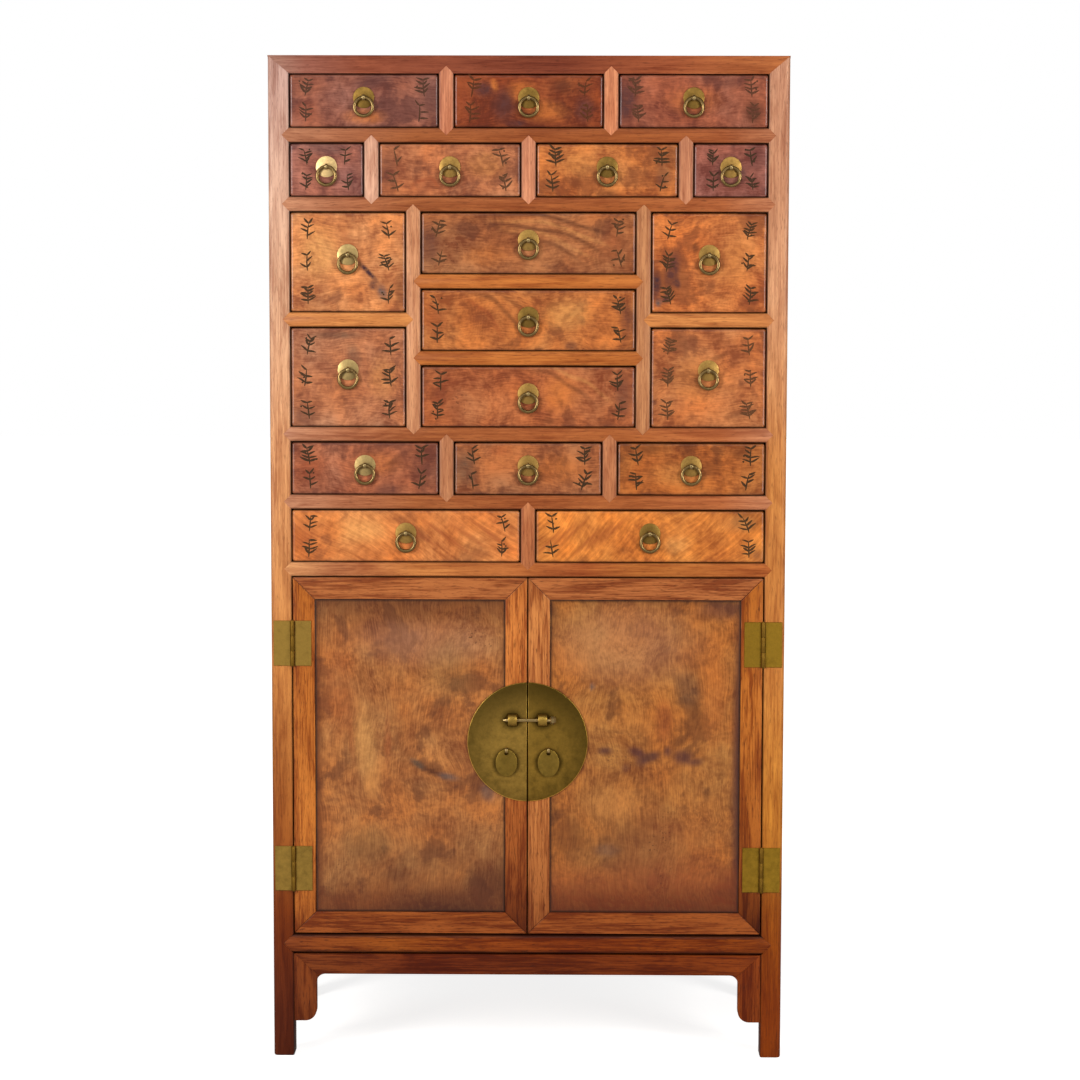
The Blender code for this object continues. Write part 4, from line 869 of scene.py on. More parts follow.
for name, z in (("bottom", BOTTOM_RAIL), ("middle", SIDE_MID)):
    case_board(f"back_rail_{name}", plank((-INNER, INNER), (BACK + GAP, DEPTH - GAP), z), WOOD["side_rail"], "X")
print("sides and back done")

# %% [markdown]
# Behind each rail a dust board closes the row, and battens on it keep the drawers straight. These are plain paler
# wood that was never waxed. They show only when a drawer is out.

# %% Dust boards, guides, partitions and floor
WING = WIDTH / 2 - PANEL_INSET - PANEL - GAP
PARTITION, SHELF_GUIDE, NEAR_POST = 0.012, 0.007, 0.01
FLOOR, FLOOR_START = 0.012, 0.0265  # the floor's front edge stops the doors
INSIDE_Y, GUIDE_Y = (RAIL_DEPTH, BACK - GAP), (RAIL_DEPTH, BACK - 2 * GAP)


def winged(z, y):
    """A board from the rail to the back, with its ends let in between the front and rear posts."""
    right = [(INNER - GAP, y[0]), (INNER - GAP, SIDE_Y[0]), (WING, SIDE_Y[0]), (WING, SIDE_Y[1]),
             (INNER - GAP, SIDE_Y[1]), (INNER - GAP, y[1])]
    return board([(-a, b) for a, b in reversed(right)] + right, "Z", *z)


def wing_guide(side, top):
    """A batten at the end of a board, between the posts."""
    return plank((side * (INNER + GAP), side * (WING - GAP)), SIDE_Y, (top, top + GUIDE))


for row, z in RAILS.items():
    top = z[1] - GAP
    inside_board(f"dust_board_{row}", winged((top - BOARD, top), INSIDE_Y), "X")
    battens = [plank((x[0] + GAP, x[1] - GAP), GUIDE_Y, (top, top + GUIDE)) for x in STILES[row]]
    inside_board(f"guides_{row}", joined(*battens, *[wing_guide(side, top) for side in (-1, 1)]), "Y")
partitions = [sum(x) / 2 for x in STILES[3]]
partition_z = (RAILS[3][1] - GAP, ROWS[3][1] + RAIL - BOARD - 2 * GAP)
for word, x in zip(("left", "right"), partitions):
    inside_board(f"partition_{word}", plank((x - PARTITION / 2, x + PARTITION / 2), INSIDE_Y, partition_z), "Y")
half_wall = PARTITION / 2 + GAP
for word, x, shelf_levels in (
    ("left", (-INNER + GAP, partitions[0] - half_wall), [SIDE_SHORT]),
    ("centre", (partitions[0] + half_wall, partitions[1] - half_wall), CENTRE_SHORT),
    ("right", (partitions[1] + half_wall, INNER - GAP), [SIDE_SHORT]),
):
    for n, z in enumerate(shelf_levels):
        top = z[1] - GAP
        inside_board(f"shelf_{word}_{n + 1}", plank(x, INSIDE_Y, (top - BOARD, top)), "X")
        ends = []
        for edge, toward in ((x[0], 1), (x[1], -1)):
            if abs(edge) < INNER - NEAR_POST:
                ends.append(plank((edge, edge + toward * SHELF_GUIDE), GUIDE_Y, (top, top + GUIDE)))
            else:
                ends.append(wing_guide(-toward, top))
        inside_board(f"shelf_guides_{word}_{n + 1}", joined(*ends), "Y")
floor_z = (BOTTOM_RAIL[1] + GAP, BOTTOM_RAIL[1] + GAP + FLOOR)
inside_board("cupboard_floor_board", winged(floor_z, (FLOOR_START, BACK - GAP)), "X")
print("inside pieces done")

# %% [markdown]
# ## Drawer fronts
# Each front is a flat slab of burl with a softly rounded edge. A grid of small squares carries washes of colour:
# smoky plum, rust and amber. The first numbers of a wash are its place across and up the front, then its half sizes
# in millimetres, its lean in degrees, its colour and its strength.

# %% Drawer tints and washes
WASH = {
    "plum": "#472521", "violet": "#371f22", "rust": "#7d3619", "orange": "#b4652a", "amber": "#bb7d40",
    "smoke": "#45392e", "umber": "#401d0e", "sienna": "#5a2409", "tan": "#96654a", "slate": "#4a413f",
    "honey": "#c28b4c", "olive": "#6d5530",
}
DRAWER_TINTS = {
    "1_left": "#7b493c", "1_middle": "#763517", "1_right": "#814633", "2_far_left": "#835148",
    "2_left": "#965a3c", "2_right": "#a55f30", "2_far_right": "#7f483d", "3_upper_left": "#ad6d43",
    "3_lower_left": "#965e42", "3_upper_centre": "#895130", "3_middle_centre": "#9d5c30",
    "3_lower_centre": "#935230", "3_upper_right": "#a85f31", "3_lower_right": "#9b5b35", "4_left": "#894f38",
    "4_middle": "#8a5233", "4_right": "#8f5126", "5_left": "#b46b39", "5_right": "#b86e31",
}
WAVER = 0.025  # of the front's height: how far a grown line strays from its curve


def arc(size, start, turn, end, half, name, amount, count=12):
    """Washes in a row along a curve on a front of this size, for the arcs that a burl shows where a branch grew."""
    found = []
    for n in range(count):
        t = (n + 0.5) / count
        u, v = [(1 - t) ** 2 * a + 2 * t * (1 - t) * b + t * t * c for a, b, c in zip(start, turn, end)]
        du, dv = [size[k] * 2 * ((1 - t) * (turn[k] - start[k]) + t * (end[k] - turn[k])) for k in (0, 1)]
        v += WAVER * math.sin(13 * t + 25 * start[0] + 17 * start[1])
        reach = 1.1 * math.hypot(du, dv) / count
        found.append((u, v, half, reach, math.degrees(math.atan2(-du, dv)), name, amount * min(1, 4 * t, 4 - 4 * t)))
    return found


CENTRE_FRONT, SECOND_FRONT = (388, 111), (236, 96)  # mm
WASHES = {
    "1_left": [
        (0.5, 0.2, 45, 18, 0, "orange", 0.55), (0.55, 0.85, 40, 16, 10, "violet", 0.6),
        (0.95, 0.5, 22, 45, 0, "plum", 0.6), (0.1, 0.3, 25, 30, 0, "rust", 0.35),
    ],
    "1_middle": [
        (0.45, 0.68, 34, 24, 0, "orange", 0.55), (0.6, 0.3, 50, 25, 0, "orange", 0.5),
        (0.33, 0.42, 26, 40, 0, "plum", 0.8), (0.2, 0.72, 24, 18, 0, "violet", 0.7),
        (0.27, 0.80, 8, 14, 20, "orange", 0.7), (0.42, 0.08, 26, 8, 0, "violet", 0.7),
        (0.72, 0.78, 25, 18, 0, "umber", 0.55), (0.87, 0.35, 20, 30, 0, "violet", 0.6),
        (0.06, 0.5, 18, 45, 0, "rust", 0.6),
    ],
    "1_right": [
        (0.05, 0.5, 24, 45, 0, "violet", 0.8), (0.9, 0.3, 22, 28, 0, "umber", 0.8),
        (0.5, 0.5, 60, 30, 0, "orange", 0.3), (0.75, 0.85, 40, 15, 0, "plum", 0.4),
    ],
    "2_far_left": [
        (0.5, 0.9, 50, 16, 0, "slate", 0.4), (0.9, 0.3, 20, 35, 0, "plum", 0.35),
    ],
    "2_left": [
        (0.06, 0.5, 22, 45, 0, "plum", 0.55), (0.35, 0.2, 25, 12, 15, "rust", 0.4),
        *arc(SECOND_FRONT, (0.20, 0.02), (0.33, 0.65), (0.46, 0.02), 5, "rust", 0.5),
        (0.75, 0.6, 45, 30, 0, "amber", 0.35),
    ],
    "2_right": [
        (0.5, 0.05, 30, 10, 0, "umber", 0.6), (0.9, 0.4, 20, 30, 0, "plum", 0.5),
        (0.3, 0.6, 45, 28, 0, "amber", 0.35),
    ],
    "2_far_right": [
        (0.5, 0.5, 40, 30, 0, "slate", 0.35), (0.85, 0.7, 20, 30, 0, "violet", 0.4),
    ],
    "3_upper_left": [
        (0.55, 0.62, 12, 60, 28, "rust", 0.45), (0.68, 0.40, 6, 34, 44, "violet", 1.0),
        (0.72, 0.27, 10, 12, 30, "violet", 0.85), (0.80, 0.20, 12, 18, 20, "slate", 0.85),
        (0.95, 0.2, 10, 40, 0, "umber", 0.5), (0.25, 0.6, 45, 60, 0, "honey", 0.45),
        (0.2, 0.1, 40, 14, 0, "plum", 0.35),
    ],
    "3_lower_left": [
        (0.4, 0.93, 60, 10, 0, "smoke", 0.55), (0.55, 0.72, 16, 26, 10, "smoke", 0.5),
        (0.12, 0.1, 30, 25, 0, "plum", 0.55), (0.8, 0.5, 30, 50, 0, "amber", 0.3),
    ],
    "3_upper_centre": [
        *arc(CENTRE_FRONT, (0.22, 0.94), (0.66, 1.12), (0.99, 0.42), 5, "umber", 0.5),
        *arc(CENTRE_FRONT, (0.25, 0.85), (0.63, 1.02), (0.95, 0.28), 4.5, "honey", 0.16),
        *arc(CENTRE_FRONT, (0.22, 0.74), (0.61, 0.96), (0.91, 0.20), 5, "umber", 0.5),
        *arc(CENTRE_FRONT, (0.32, 0.72), (0.58, 0.82), (0.86, 0.10), 4.5, "honey", 0.12),
        *arc(CENTRE_FRONT, (0.30, 0.62), (0.56, 0.76), (0.80, 0.06), 5, "umber", 0.4),
        (0.04, 0.5, 24, 50, 0, "plum", 0.6), (0.3, 0.3, 50, 25, 0, "orange", 0.3),
        (0.9, 0.5, 30, 40, 0, "rust", 0.35),
    ],
    "3_middle_centre": [
        (0.06, 0.5, 28, 45, 0, "rust", 0.5), (0.7, 0.6, 50, 34, 0, "honey", 0.3),
        *arc(CENTRE_FRONT, (0.22, 0.98), (0.40, 0.86), (0.47, 0.2), 6, "umber", 0.42),
        *arc(CENTRE_FRONT, (0.30, 1.0), (0.47, 0.88), (0.54, 0.3), 5, "umber", 0.3),
        *arc(CENTRE_FRONT, (0.16, 0.9), (0.33, 0.76), (0.39, 0.1), 5, "rust", 0.4),
        (0.7, 0.08, 14, 10, 0, "violet", 0.65), (0.96, 0.5, 16, 50, 0, "plum", 0.55),
        (0.65, 0.6, 50, 30, 0, "amber", 0.4),
    ],
    "3_lower_centre": [
        (0.1, 0.5, 45, 50, 0, "rust", 0.4), (0.65, 0.55, 40, 40, 0, "orange", 0.5),
        *arc(CENTRE_FRONT, (0.46, 1.0), (0.68, 0.9), (0.82, 0.3), 6, "umber", 0.36),
        *arc(CENTRE_FRONT, (0.56, 1.0), (0.74, 0.9), (0.9, 0.4), 5, "honey", 0.18),
        (0.6, 0.1, 16, 8, 0, "umber", 0.55), (0.95, 0.5, 20, 50, 0, "plum", 0.6),
    ],
    "3_upper_right": [
        (0.18, 0.42, 16, 46, -14, "plum", 0.85), (0.04, 0.26, 12, 34, 0, "violet", 1.0),
        (0.12, 0.14, 14, 12, 30, "violet", 0.9), (0.22, 0.3, 8, 14, 20, "violet", 0.8),
        (0.06, 0.1, 8, 10, 0, "slate", 0.9), (0.38, 0.65, 9, 12, 0, "umber", 0.7),
        (0.7, 0.5, 45, 60, 0, "amber", 0.3), (0.85, 0.12, 25, 14, 0, "rust", 0.35),
    ],
    "3_lower_right": [
        (0.6, 0.72, 20, 6, 20, "umber", 0.45), (0.8, 0.15, 40, 10, 12, "umber", 0.45),
        (0.03, 0.25, 5, 6, 0, "violet", 0.7), (0.4, 0.5, 60, 50, 0, "amber", 0.25),
    ],
    "4_left": [
        (0.65, 0.1, 35, 12, 0, "plum", 0.55), (0.12, 0.5, 30, 35, 0, "rust", 0.5),
        (0.6, 0.6, 50, 28, 0, "orange", 0.3), (0.95, 0.6, 16, 40, 0, "plum", 0.4),
    ],
    "4_middle": [
        (0.08, 0.5, 24, 40, 0, "smoke", 0.5), (0.7, 0.5, 60, 35, 0, "orange", 0.4),
        (0.3, 0.85, 30, 12, 0, "rust", 0.35),
    ],
    "4_right": [
        (0.22, 0.9, 35, 14, 0, "umber", 0.5), (0.62, 0.5, 30, 18, 20, "umber", 0.4),
        (0.85, 0.8, 25, 16, 0, "umber", 0.45), (0.4, 0.4, 60, 28, 0, "amber", 0.35),
    ],
    "5_left": [
        (0.04, 0.5, 26, 45, 0, "rust", 0.4), (0.3, 0.6, 60, 30, 0, "honey", 0.3),
        *[(0.5 + 0.07 * n, 0.5 + 0.12 * (n % 3 - 1), 5, 48, 56, "rust", 0.5) for n in range(7)],
    ],
    "5_right": [
        *[(0.06 + 0.055 * n, 0.5 + 0.1 * (n % 3 - 1), 5, 48, -46, "rust", 0.55) for n in range(6)],
        (0.62, 0.35, 30, 22, 0, "honey", 0.45), (0.88, 0.75, 40, 20, 0, "honey", 0.3),
        (0.97, 0.15, 12, 14, 0, "plum", 0.5),
    ],
}
print("washes", sum(len(found) for found in WASHES.values()))


# %% Painting
FACE_DEEP = 0.008  # how far behind the face the washes reach
FADE_START, FADE_END = 0.25, 1.15  # of a wash's half size


def smooth(value, low, high):
    """A soft step from 0 to 1 between two limits."""
    t = np.clip((value - low) / (high - low), 0, 1)
    return t * t * (3 - 2 * t)


def paint(mesh, x, z, washes, band, strength):
    """Stores the washes and the painted shade along the edge of a burl face between these limits."""
    at = places(mesh)
    colour, alpha = np.zeros((len(at), 3)), np.zeros(len(at))
    for u, v, wide, tall, lean, name, amount in washes:
        dx = (at[:, 0] - (x[0] + u * (x[1] - x[0]))) * 1000
        dz = (at[:, 2] - (z[0] + v * (z[1] - z[0]))) * 1000
        turn = math.radians(lean)
        a = (dx * math.cos(turn) + dz * math.sin(turn)) / wide
        b = (-dx * math.sin(turn) + dz * math.cos(turn)) / tall
        cover = amount * (1 - smooth(np.hypot(a, b), FADE_START, FADE_END))
        total = cover + alpha * (1 - cover)
        share = np.divide(cover, total, out=np.zeros_like(cover), where=total > 1e-6)[:, None]
        colour = colour * (1 - share) + np.array(linear(WASH[name])[:3]) * share
        alpha = total
    front = at[:, 1] < at[:, 1].min() + FACE_DEEP
    store(mesh, "wash", "FLOAT_COLOR", np.column_stack([colour, alpha * front]))
    inset = np.minimum.reduce([at[:, 0] - x[0], x[1] - at[:, 0], at[:, 2] - z[0], z[1] - at[:, 2]])
    # The edge is a painted shade: darkest at the border, mostly gone within one band, and gone within four.
    rim = 1 - 0.7 * smooth(inset, 0.0, band) - 0.3 * smooth(inset, 0.0, 4 * band)
    store(mesh, "edge", "FLOAT", strength * rim * front)


def face_slab(x, y, z, cell, corner, radius, cuts=0):
    """A slab with a grid on its front, rounded corners, one face behind and a rounded front edge.

    Cuts make the grid finer inside the rounded edge.
    """
    shape = bmesh.new()
    size = Matrix.Diagonal(((x[1] - x[0]) / 2, (z[1] - z[0]) / 2, 1, 1))
    stand = Matrix.Rotation(math.pi / 2, 4, "X")
    centre = Matrix.Translation((sum(x) / 2, y[0], sum(z) / 2))
    bmesh.ops.create_grid(shape, x_segments=round((x[1] - x[0]) / cell), y_segments=round((z[1] - z[0]) / cell),
                          size=1, matrix=centre @ stand @ size)
    rim = [e for e in shape.edges if e.is_boundary]
    swept = bmesh.ops.extrude_edge_only(shape, edges=rim)["geom"]
    bmesh.ops.translate(shape, vec=(0, y[1] - y[0], 0), verts=[v for v in swept if isinstance(v, bmesh.types.BMVert)])
    bmesh.ops.contextual_create(shape, geom=[e for e in shape.edges if e.is_boundary])
    bmesh.ops.recalc_face_normals(shape, faces=shape.faces)
    upright = [e for e in shape.edges if e.calc_face_angle(0.0) > 0.5 and abs(e.verts[0].co.y - e.verts[1].co.y) > GAP]
    ease(shape, upright, corner, 3)
    ease(shape, arrises(shape, "Y", y[0]), radius, 3)
    if cuts:
        flat = [e for e in shape.edges if all(abs(f.calc_center_median().y - y[0]) < 1e-6 for f in e.link_faces)]
        bmesh.ops.subdivide_edges(shape, edges=flat, cuts=cuts, use_grid_fill=True)
    return shape


def lean_grain(mesh, degrees):
    """Leans the way that the fibres of a front run, up from the level."""
    layer, turn = mesh.attributes["grain"], math.radians(degrees)
    flat = np.empty(len(mesh.vertices) * 3, np.float32)
    layer.data.foreach_get("vector", flat)
    x, y, z = flat.reshape(-1, 3).T
    leaned = [x * math.cos(turn) + z * math.sin(turn), y, z * math.cos(turn) - x * math.sin(turn)]
    layer.data.foreach_set("vector", np.column_stack(leaned).astype(np.float32).ravel())


# %% Fronts and trays
FEATHER = {"5_left": -32, "5_right": 42}  # degrees
DRAWER_FRONT, DRAWER_LENGTH, DRAWER_WALL, DRAWER_BOTTOM, TRAY_DROP = 0.020, 0.400, 0.010, 0.008, 0.008
FRONT_CELL, FRONT_CORNER, FRONT_ROUND = 0.0058, 0.005, 0.0044
# The dark edge is a painted shade next to the gap round the front.
FRONT_EDGE = (0.0018, 0.95)  # width and strength of the dark edge
DRAWERS = {name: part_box(f"drawer_{name}") for name in DRAWER_TINTS}
for name, (low, high) in DRAWERS.items():
    x, z = (low.x, high.x), (low.z, high.z)
    slab = face_slab(x, (0.0, DRAWER_FRONT), z, FRONT_CELL, FRONT_CORNER, FRONT_ROUND, 1)
    front = add_piece(f"front_{name}", slab, f"drawer_{name}", feathered_burl if name in FEATHER else waxed_burl,
                      "burl_drawer", DRAWER_TINTS[name], "X", vary=0.0, stands_for=[f"drawer_{name}"])
    lean_grain(front.data, FEATHER.get(name, 0))
    paint(front.data, x, z, WASHES[name], *FRONT_EDGE)
    left, right = x[0] + GAP, x[1] - GAP
    base, rim = z[0] + GAP, z[1] - TRAY_DROP
    between, back = (left + DRAWER_WALL, right - DRAWER_WALL), DRAWER_LENGTH - DRAWER_WALL
    walls = [plank(*limits) for limits in (
        ((left, between[0]), (DRAWER_FRONT, DRAWER_LENGTH), (base, rim)),
        ((between[1], right), (DRAWER_FRONT, DRAWER_LENGTH), (base, rim)),
        (between, (back, DRAWER_LENGTH), (base, rim)),
        (between, (DRAWER_FRONT, back), (base, base + DRAWER_BOTTOM)))]
    inside_board(f"tray_{name}", joined(*walls), "Y", f"drawer_{name}")
print("drawers", len(DRAWERS))

# %% [markdown]
# ## Painted marks
# Small sprigs of herbs are painted in dark ink near both ends of every front, as an old painter would mark what each
# drawer holds. Each stroke is a circle that is stretched, pinched towards its tip and bent, as a brush leaves it. A
# seed from the drawer's name sets each sprig, so every run gives the same ones.

# %% Sprigs
INK = "#2c2112"
# How far the ink has faded into the wood
FADE = {"1_left": 0.2, "1_middle": 0.3, "1_right": 0.25, "2_left": 0.2, "3_upper_centre": 0.2, "3_lower_right": 0.2}
ink, tree, shader = new_material("dark_herb_ink")
tint = add(tree, "Attribute", attribute_name="tint", out="Color")
dry = add(tree, "TexNoise", {"Vector": add(tree, "TexCoord", out="Object"), "Scale": 1000 / 2.5, "Detail": 3.0})
wear = add(tree, "MapRange", {"Value": dry, "From Min": 0.35, "From Max": 0.75, "To Min": 0.75, "To Max": 1.5})
colour = add(tree, "VectorMath", {0: tint, "Scale": wear}, operation="SCALE")
tree.links.new(colour, shader.inputs["Base Color"])
shader.inputs["Specular IOR Level"].default_value = 0.1
rough = add(tree, "MapRange", {"Value": dry, "To Min": 0.5, "To Max": 0.7})
tree.links.new(rough, shader.inputs["Roughness"])


def stroke(shape, at, angle, length, width, bend):
    """One brush stroke from a point: a pinched, bent oval."""
    made = bmesh.ops.create_circle(shape, cap_ends=True, radius=0.5, segments=10)["verts"]
    for v in made:
        t = v.co.x + 0.5
        v.co = Vector((t * length, v.co.y * width * (1.25 - 0.6 * t) + bend * length * t * t, 0))
    turn = Matrix.Translation((*at, 0)) @ Matrix.Rotation(angle, 4, "Z")
    bmesh.ops.transform(shape, matrix=turn, verts=made)


def sprig(shape, at, size, chance):
    """A small herb: a bent stem with leaves on both sides and a bud or two."""
    lean = math.radians(90 + chance.uniform(-14, 14))
    bend = chance.uniform(-0.18, 0.18)
    start = Vector(at) - Vector((math.cos(lean), math.sin(lean))) * size * 0.48
    stroke(shape, start, lean, size * 0.92, size * 0.085, bend)
    count = chance.choice((3, 4, 5))
    for n in range(count):
        t = 0.22 + 0.68 * n / (count - 1)
        along = Vector((t * size * 0.92, bend * size * 0.92 * t * t))
        root = start + Matrix.Rotation(lean, 2) @ along
        for side in (-1, 1):
            if chance.random() < 0.85:
                spread = lean + side * math.radians(chance.uniform(42, 78))
                reach = size * chance.uniform(0.34, 0.52) * (1.1 - 0.35 * t)
                stroke(shape, root, spread, reach, size * chance.uniform(0.09, 0.13),
                       side * chance.uniform(-0.2, 0.3))
    for _ in range(chance.choice((0, 1, 2))):
        spot = Vector(at) + Vector((chance.uniform(-0.35, 0.35), chance.uniform(-0.4, 0.45))) * size
        stroke(shape, spot, chance.uniform(0, 6), size * 0.11, size * 0.10, 0.0)


SPRIG_IN = (0.031, 0.030)  # from the left end and from the right one
SPRIG_SIZES, SPRIG_SWAY = (0.033, 0.036), 0.003
WIDE, TALL_FRONT = 0.15, 0.15
INK_LIFT, INK_STEP, INK_THICK, INK_FADE = 0.00004, 0.0000005, 0.0001, 0.06
for name, (low, high) in DRAWERS.items():
    chance = random.Random(f"sprigs {name}")
    heights = (0.82, 0.5, 0.17) if high.z - low.z > TALL_FRONT else (0.75, 0.27)
    size = SPRIG_SIZES[high.x - low.x > WIDE]
    shape = bmesh.new()
    for x in (low.x + SPRIG_IN[0], high.x - SPRIG_IN[1]):
        for v in heights:
            centre = Vector((x + chance.uniform(-SPRIG_SWAY, SPRIG_SWAY), low.z + v * (high.z - low.z)))
            sprig(shape, centre, size * chance.uniform(0.92, 1.06), chance)
    bmesh.ops.transform(shape, matrix=Matrix.Rotation(math.pi / 2, 4, "X"), verts=shape.verts)
    # Each stroke lies a hair over the last one, so that no two faces share a plane.
    for n, face in enumerate(shape.faces):
        bmesh.ops.translate(shape, vec=(0, -INK_LIFT - n * INK_STEP, 0), verts=face.verts)
    thicken(shape, (0, INK_THICK, 0))
    fade = FADE.get(name, INK_FADE)
    marks = add_piece(f"sprigs_{name}", shape, f"drawer_{name}", ink)
    blend = [a * (1 - fade) + b * fade for a, b in zip(linear(INK), linear(DRAWER_TINTS[name]))]
    store(marks.data, "tint", "FLOAT_COLOR", np.tile(blend, (len(marks.data.vertices), 1)))
print("sprigs done")

# %% [markdown]
# ## Ring pulls
# A round plate is pinned to each front, an eye stands out of it, and a ring hangs in the eye. The ring is a small
# circle spun once round its own centre.

# %% Pulls
PLATE_R, PLATE, PLATE_SOFT = 0.019, 0.002, 0.0006
RING_R, RING_WIRE = 0.0164, 0.0031
EYE_BORE, EYE_WALL, EYE_WIDTH = 0.0037, 0.0016, 0.005
PULL_OUT = 0.0056
PLATE_TINTS = {"dark_plate": "1_left 1_middle 1_right 2_right 3_middle_centre 5_right",
               "pale_plate": "3_upper_left 3_lower_left 4_left", "bare_plate": "2_far_left"}
PATINA = {name: tint for tint, names in PLATE_TINTS.items() for name in names.split()}
ON_Y = Matrix.Rotation(math.pi / 2, 4, "X")
ON_X = Matrix.Rotation(math.pi / 2, 4, "Y")


def disc(centre, radius, depth, turn, segments, soft):
    """A flat round plate or a rod, with softened rims."""
    shape = bmesh.new()
    bmesh.ops.create_cone(shape, cap_ends=True, segments=segments, radius1=radius, radius2=radius, depth=depth,
                          matrix=Matrix.Translation(centre) @ turn)
    ease(shape, [e for e in shape.edges if len(e.link_faces) == 2 and e.calc_face_angle(0.0) > 1.0], soft, 2)
    return shape


def tube(centre, bore, wall, length, steps=24):
    """A short tube along X: its cut outline, spun once round the axis."""
    shape = bmesh.new()
    centre = Vector(centre)
    corners = [shape.verts.new(centre + Vector((x, 0, r))) for x, r in (
        (-length / 2, bore), (-length / 2, bore + wall), (length / 2, bore + wall), (length / 2, bore))]
    edges = [shape.edges.new((corners[n - 1], corners[n])) for n in range(4)]
    bmesh.ops.spin(shape, geom=corners + edges, cent=centre, axis=(1, 0, 0), angle=2 * math.pi, steps=steps,
                   use_merge=True)
    bmesh.ops.recalc_face_normals(shape, faces=shape.faces)
    ease(shape, [e for e in shape.edges if e.calc_face_angle(0.0) > 1.0], 0.0005, 2)
    return shape


for name in DRAWERS:
    low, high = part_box(f"ring_{name}")
    x, z = (low.x + high.x) / 2, high.z - RING_WIRE
    plate = disc((x, -PLATE / 2, z), PLATE_R, PLATE, ON_Y, 40, PLATE_SOFT)
    fitting(f"pull_plate_{name}", plate, f"drawer_{name}", aged_brass, PATINA.get(name, "plate"))
    eye = tube((x, -PULL_OUT, z), EYE_BORE, EYE_WALL, EYE_WIDTH)
    fitting(f"pull_eye_{name}", eye, f"drawer_{name}", handled_brass, "eye")
    shape = bmesh.new()
    at = Matrix.Translation((x, -PULL_OUT, z)) @ ON_X
    wire = bmesh.ops.create_circle(shape, radius=RING_WIRE, segments=16, matrix=at)["verts"]
    bmesh.ops.spin(shape, geom=wire + shape.edges[:], cent=(x, -PULL_OUT, z - RING_R), axis=(0, 1, 0),
                   angle=2 * math.pi, steps=48, use_merge=True)
    bmesh.ops.recalc_face_normals(shape, faces=shape.faces)
    fitting(f"hanging_ring_{name}", shape, f"ring_{name}", handled_brass, "ring", [f"ring_{name}"])
print("pulls", len(DRAWERS))

# %% [markdown]
# ## Doors
# Each door is a frame of four members with mitred corners round a floating panel of burl. The panel lies just behind
# the face of the frame. It is painted in the same way as the drawer fronts, with larger clouds.

# %% Doors
# The stiles are darker towards their ends, most of all next to the floor.
STILE_SHADES = {
    "left_hinge_stile": [(0.24, 0.6), (0.32, 0.85), (0.45, 1.0), (0.60, 0.92), (0.72, 0.82), (0.88, 0.75)],
    "left_meeting_stile": [(0.24, 0.15), (0.32, 0.38), (0.40, 0.58), (0.48, 0.72), (0.72, 0.92), (0.80, 1.0),
                           (0.88, 0.8)],
    "right_meeting_stile": [(0.24, 0.5), (0.36, 0.72), (0.48, 0.95), (0.72, 0.92), (0.82, 0.98), (0.88, 0.8)],
    "right_hinge_stile": [(0.24, 0.19), (0.32, 0.46), (0.40, 0.8), (0.60, 1.0), (0.76, 1.08), (0.88, 0.8)],
}
DOOR, DOOR_MEMBER, DOOR_GAP, DOOR_MEETING, DOOR_ARRIS = 0.024, 0.040, 0.0016, 0.002, 0.0016
DOOR_PANEL, DOOR_PANEL_INSET, DOOR_PANEL_CELL, DOOR_PANEL_SOFT = 0.012, 0.0015, 0.005, 0.001
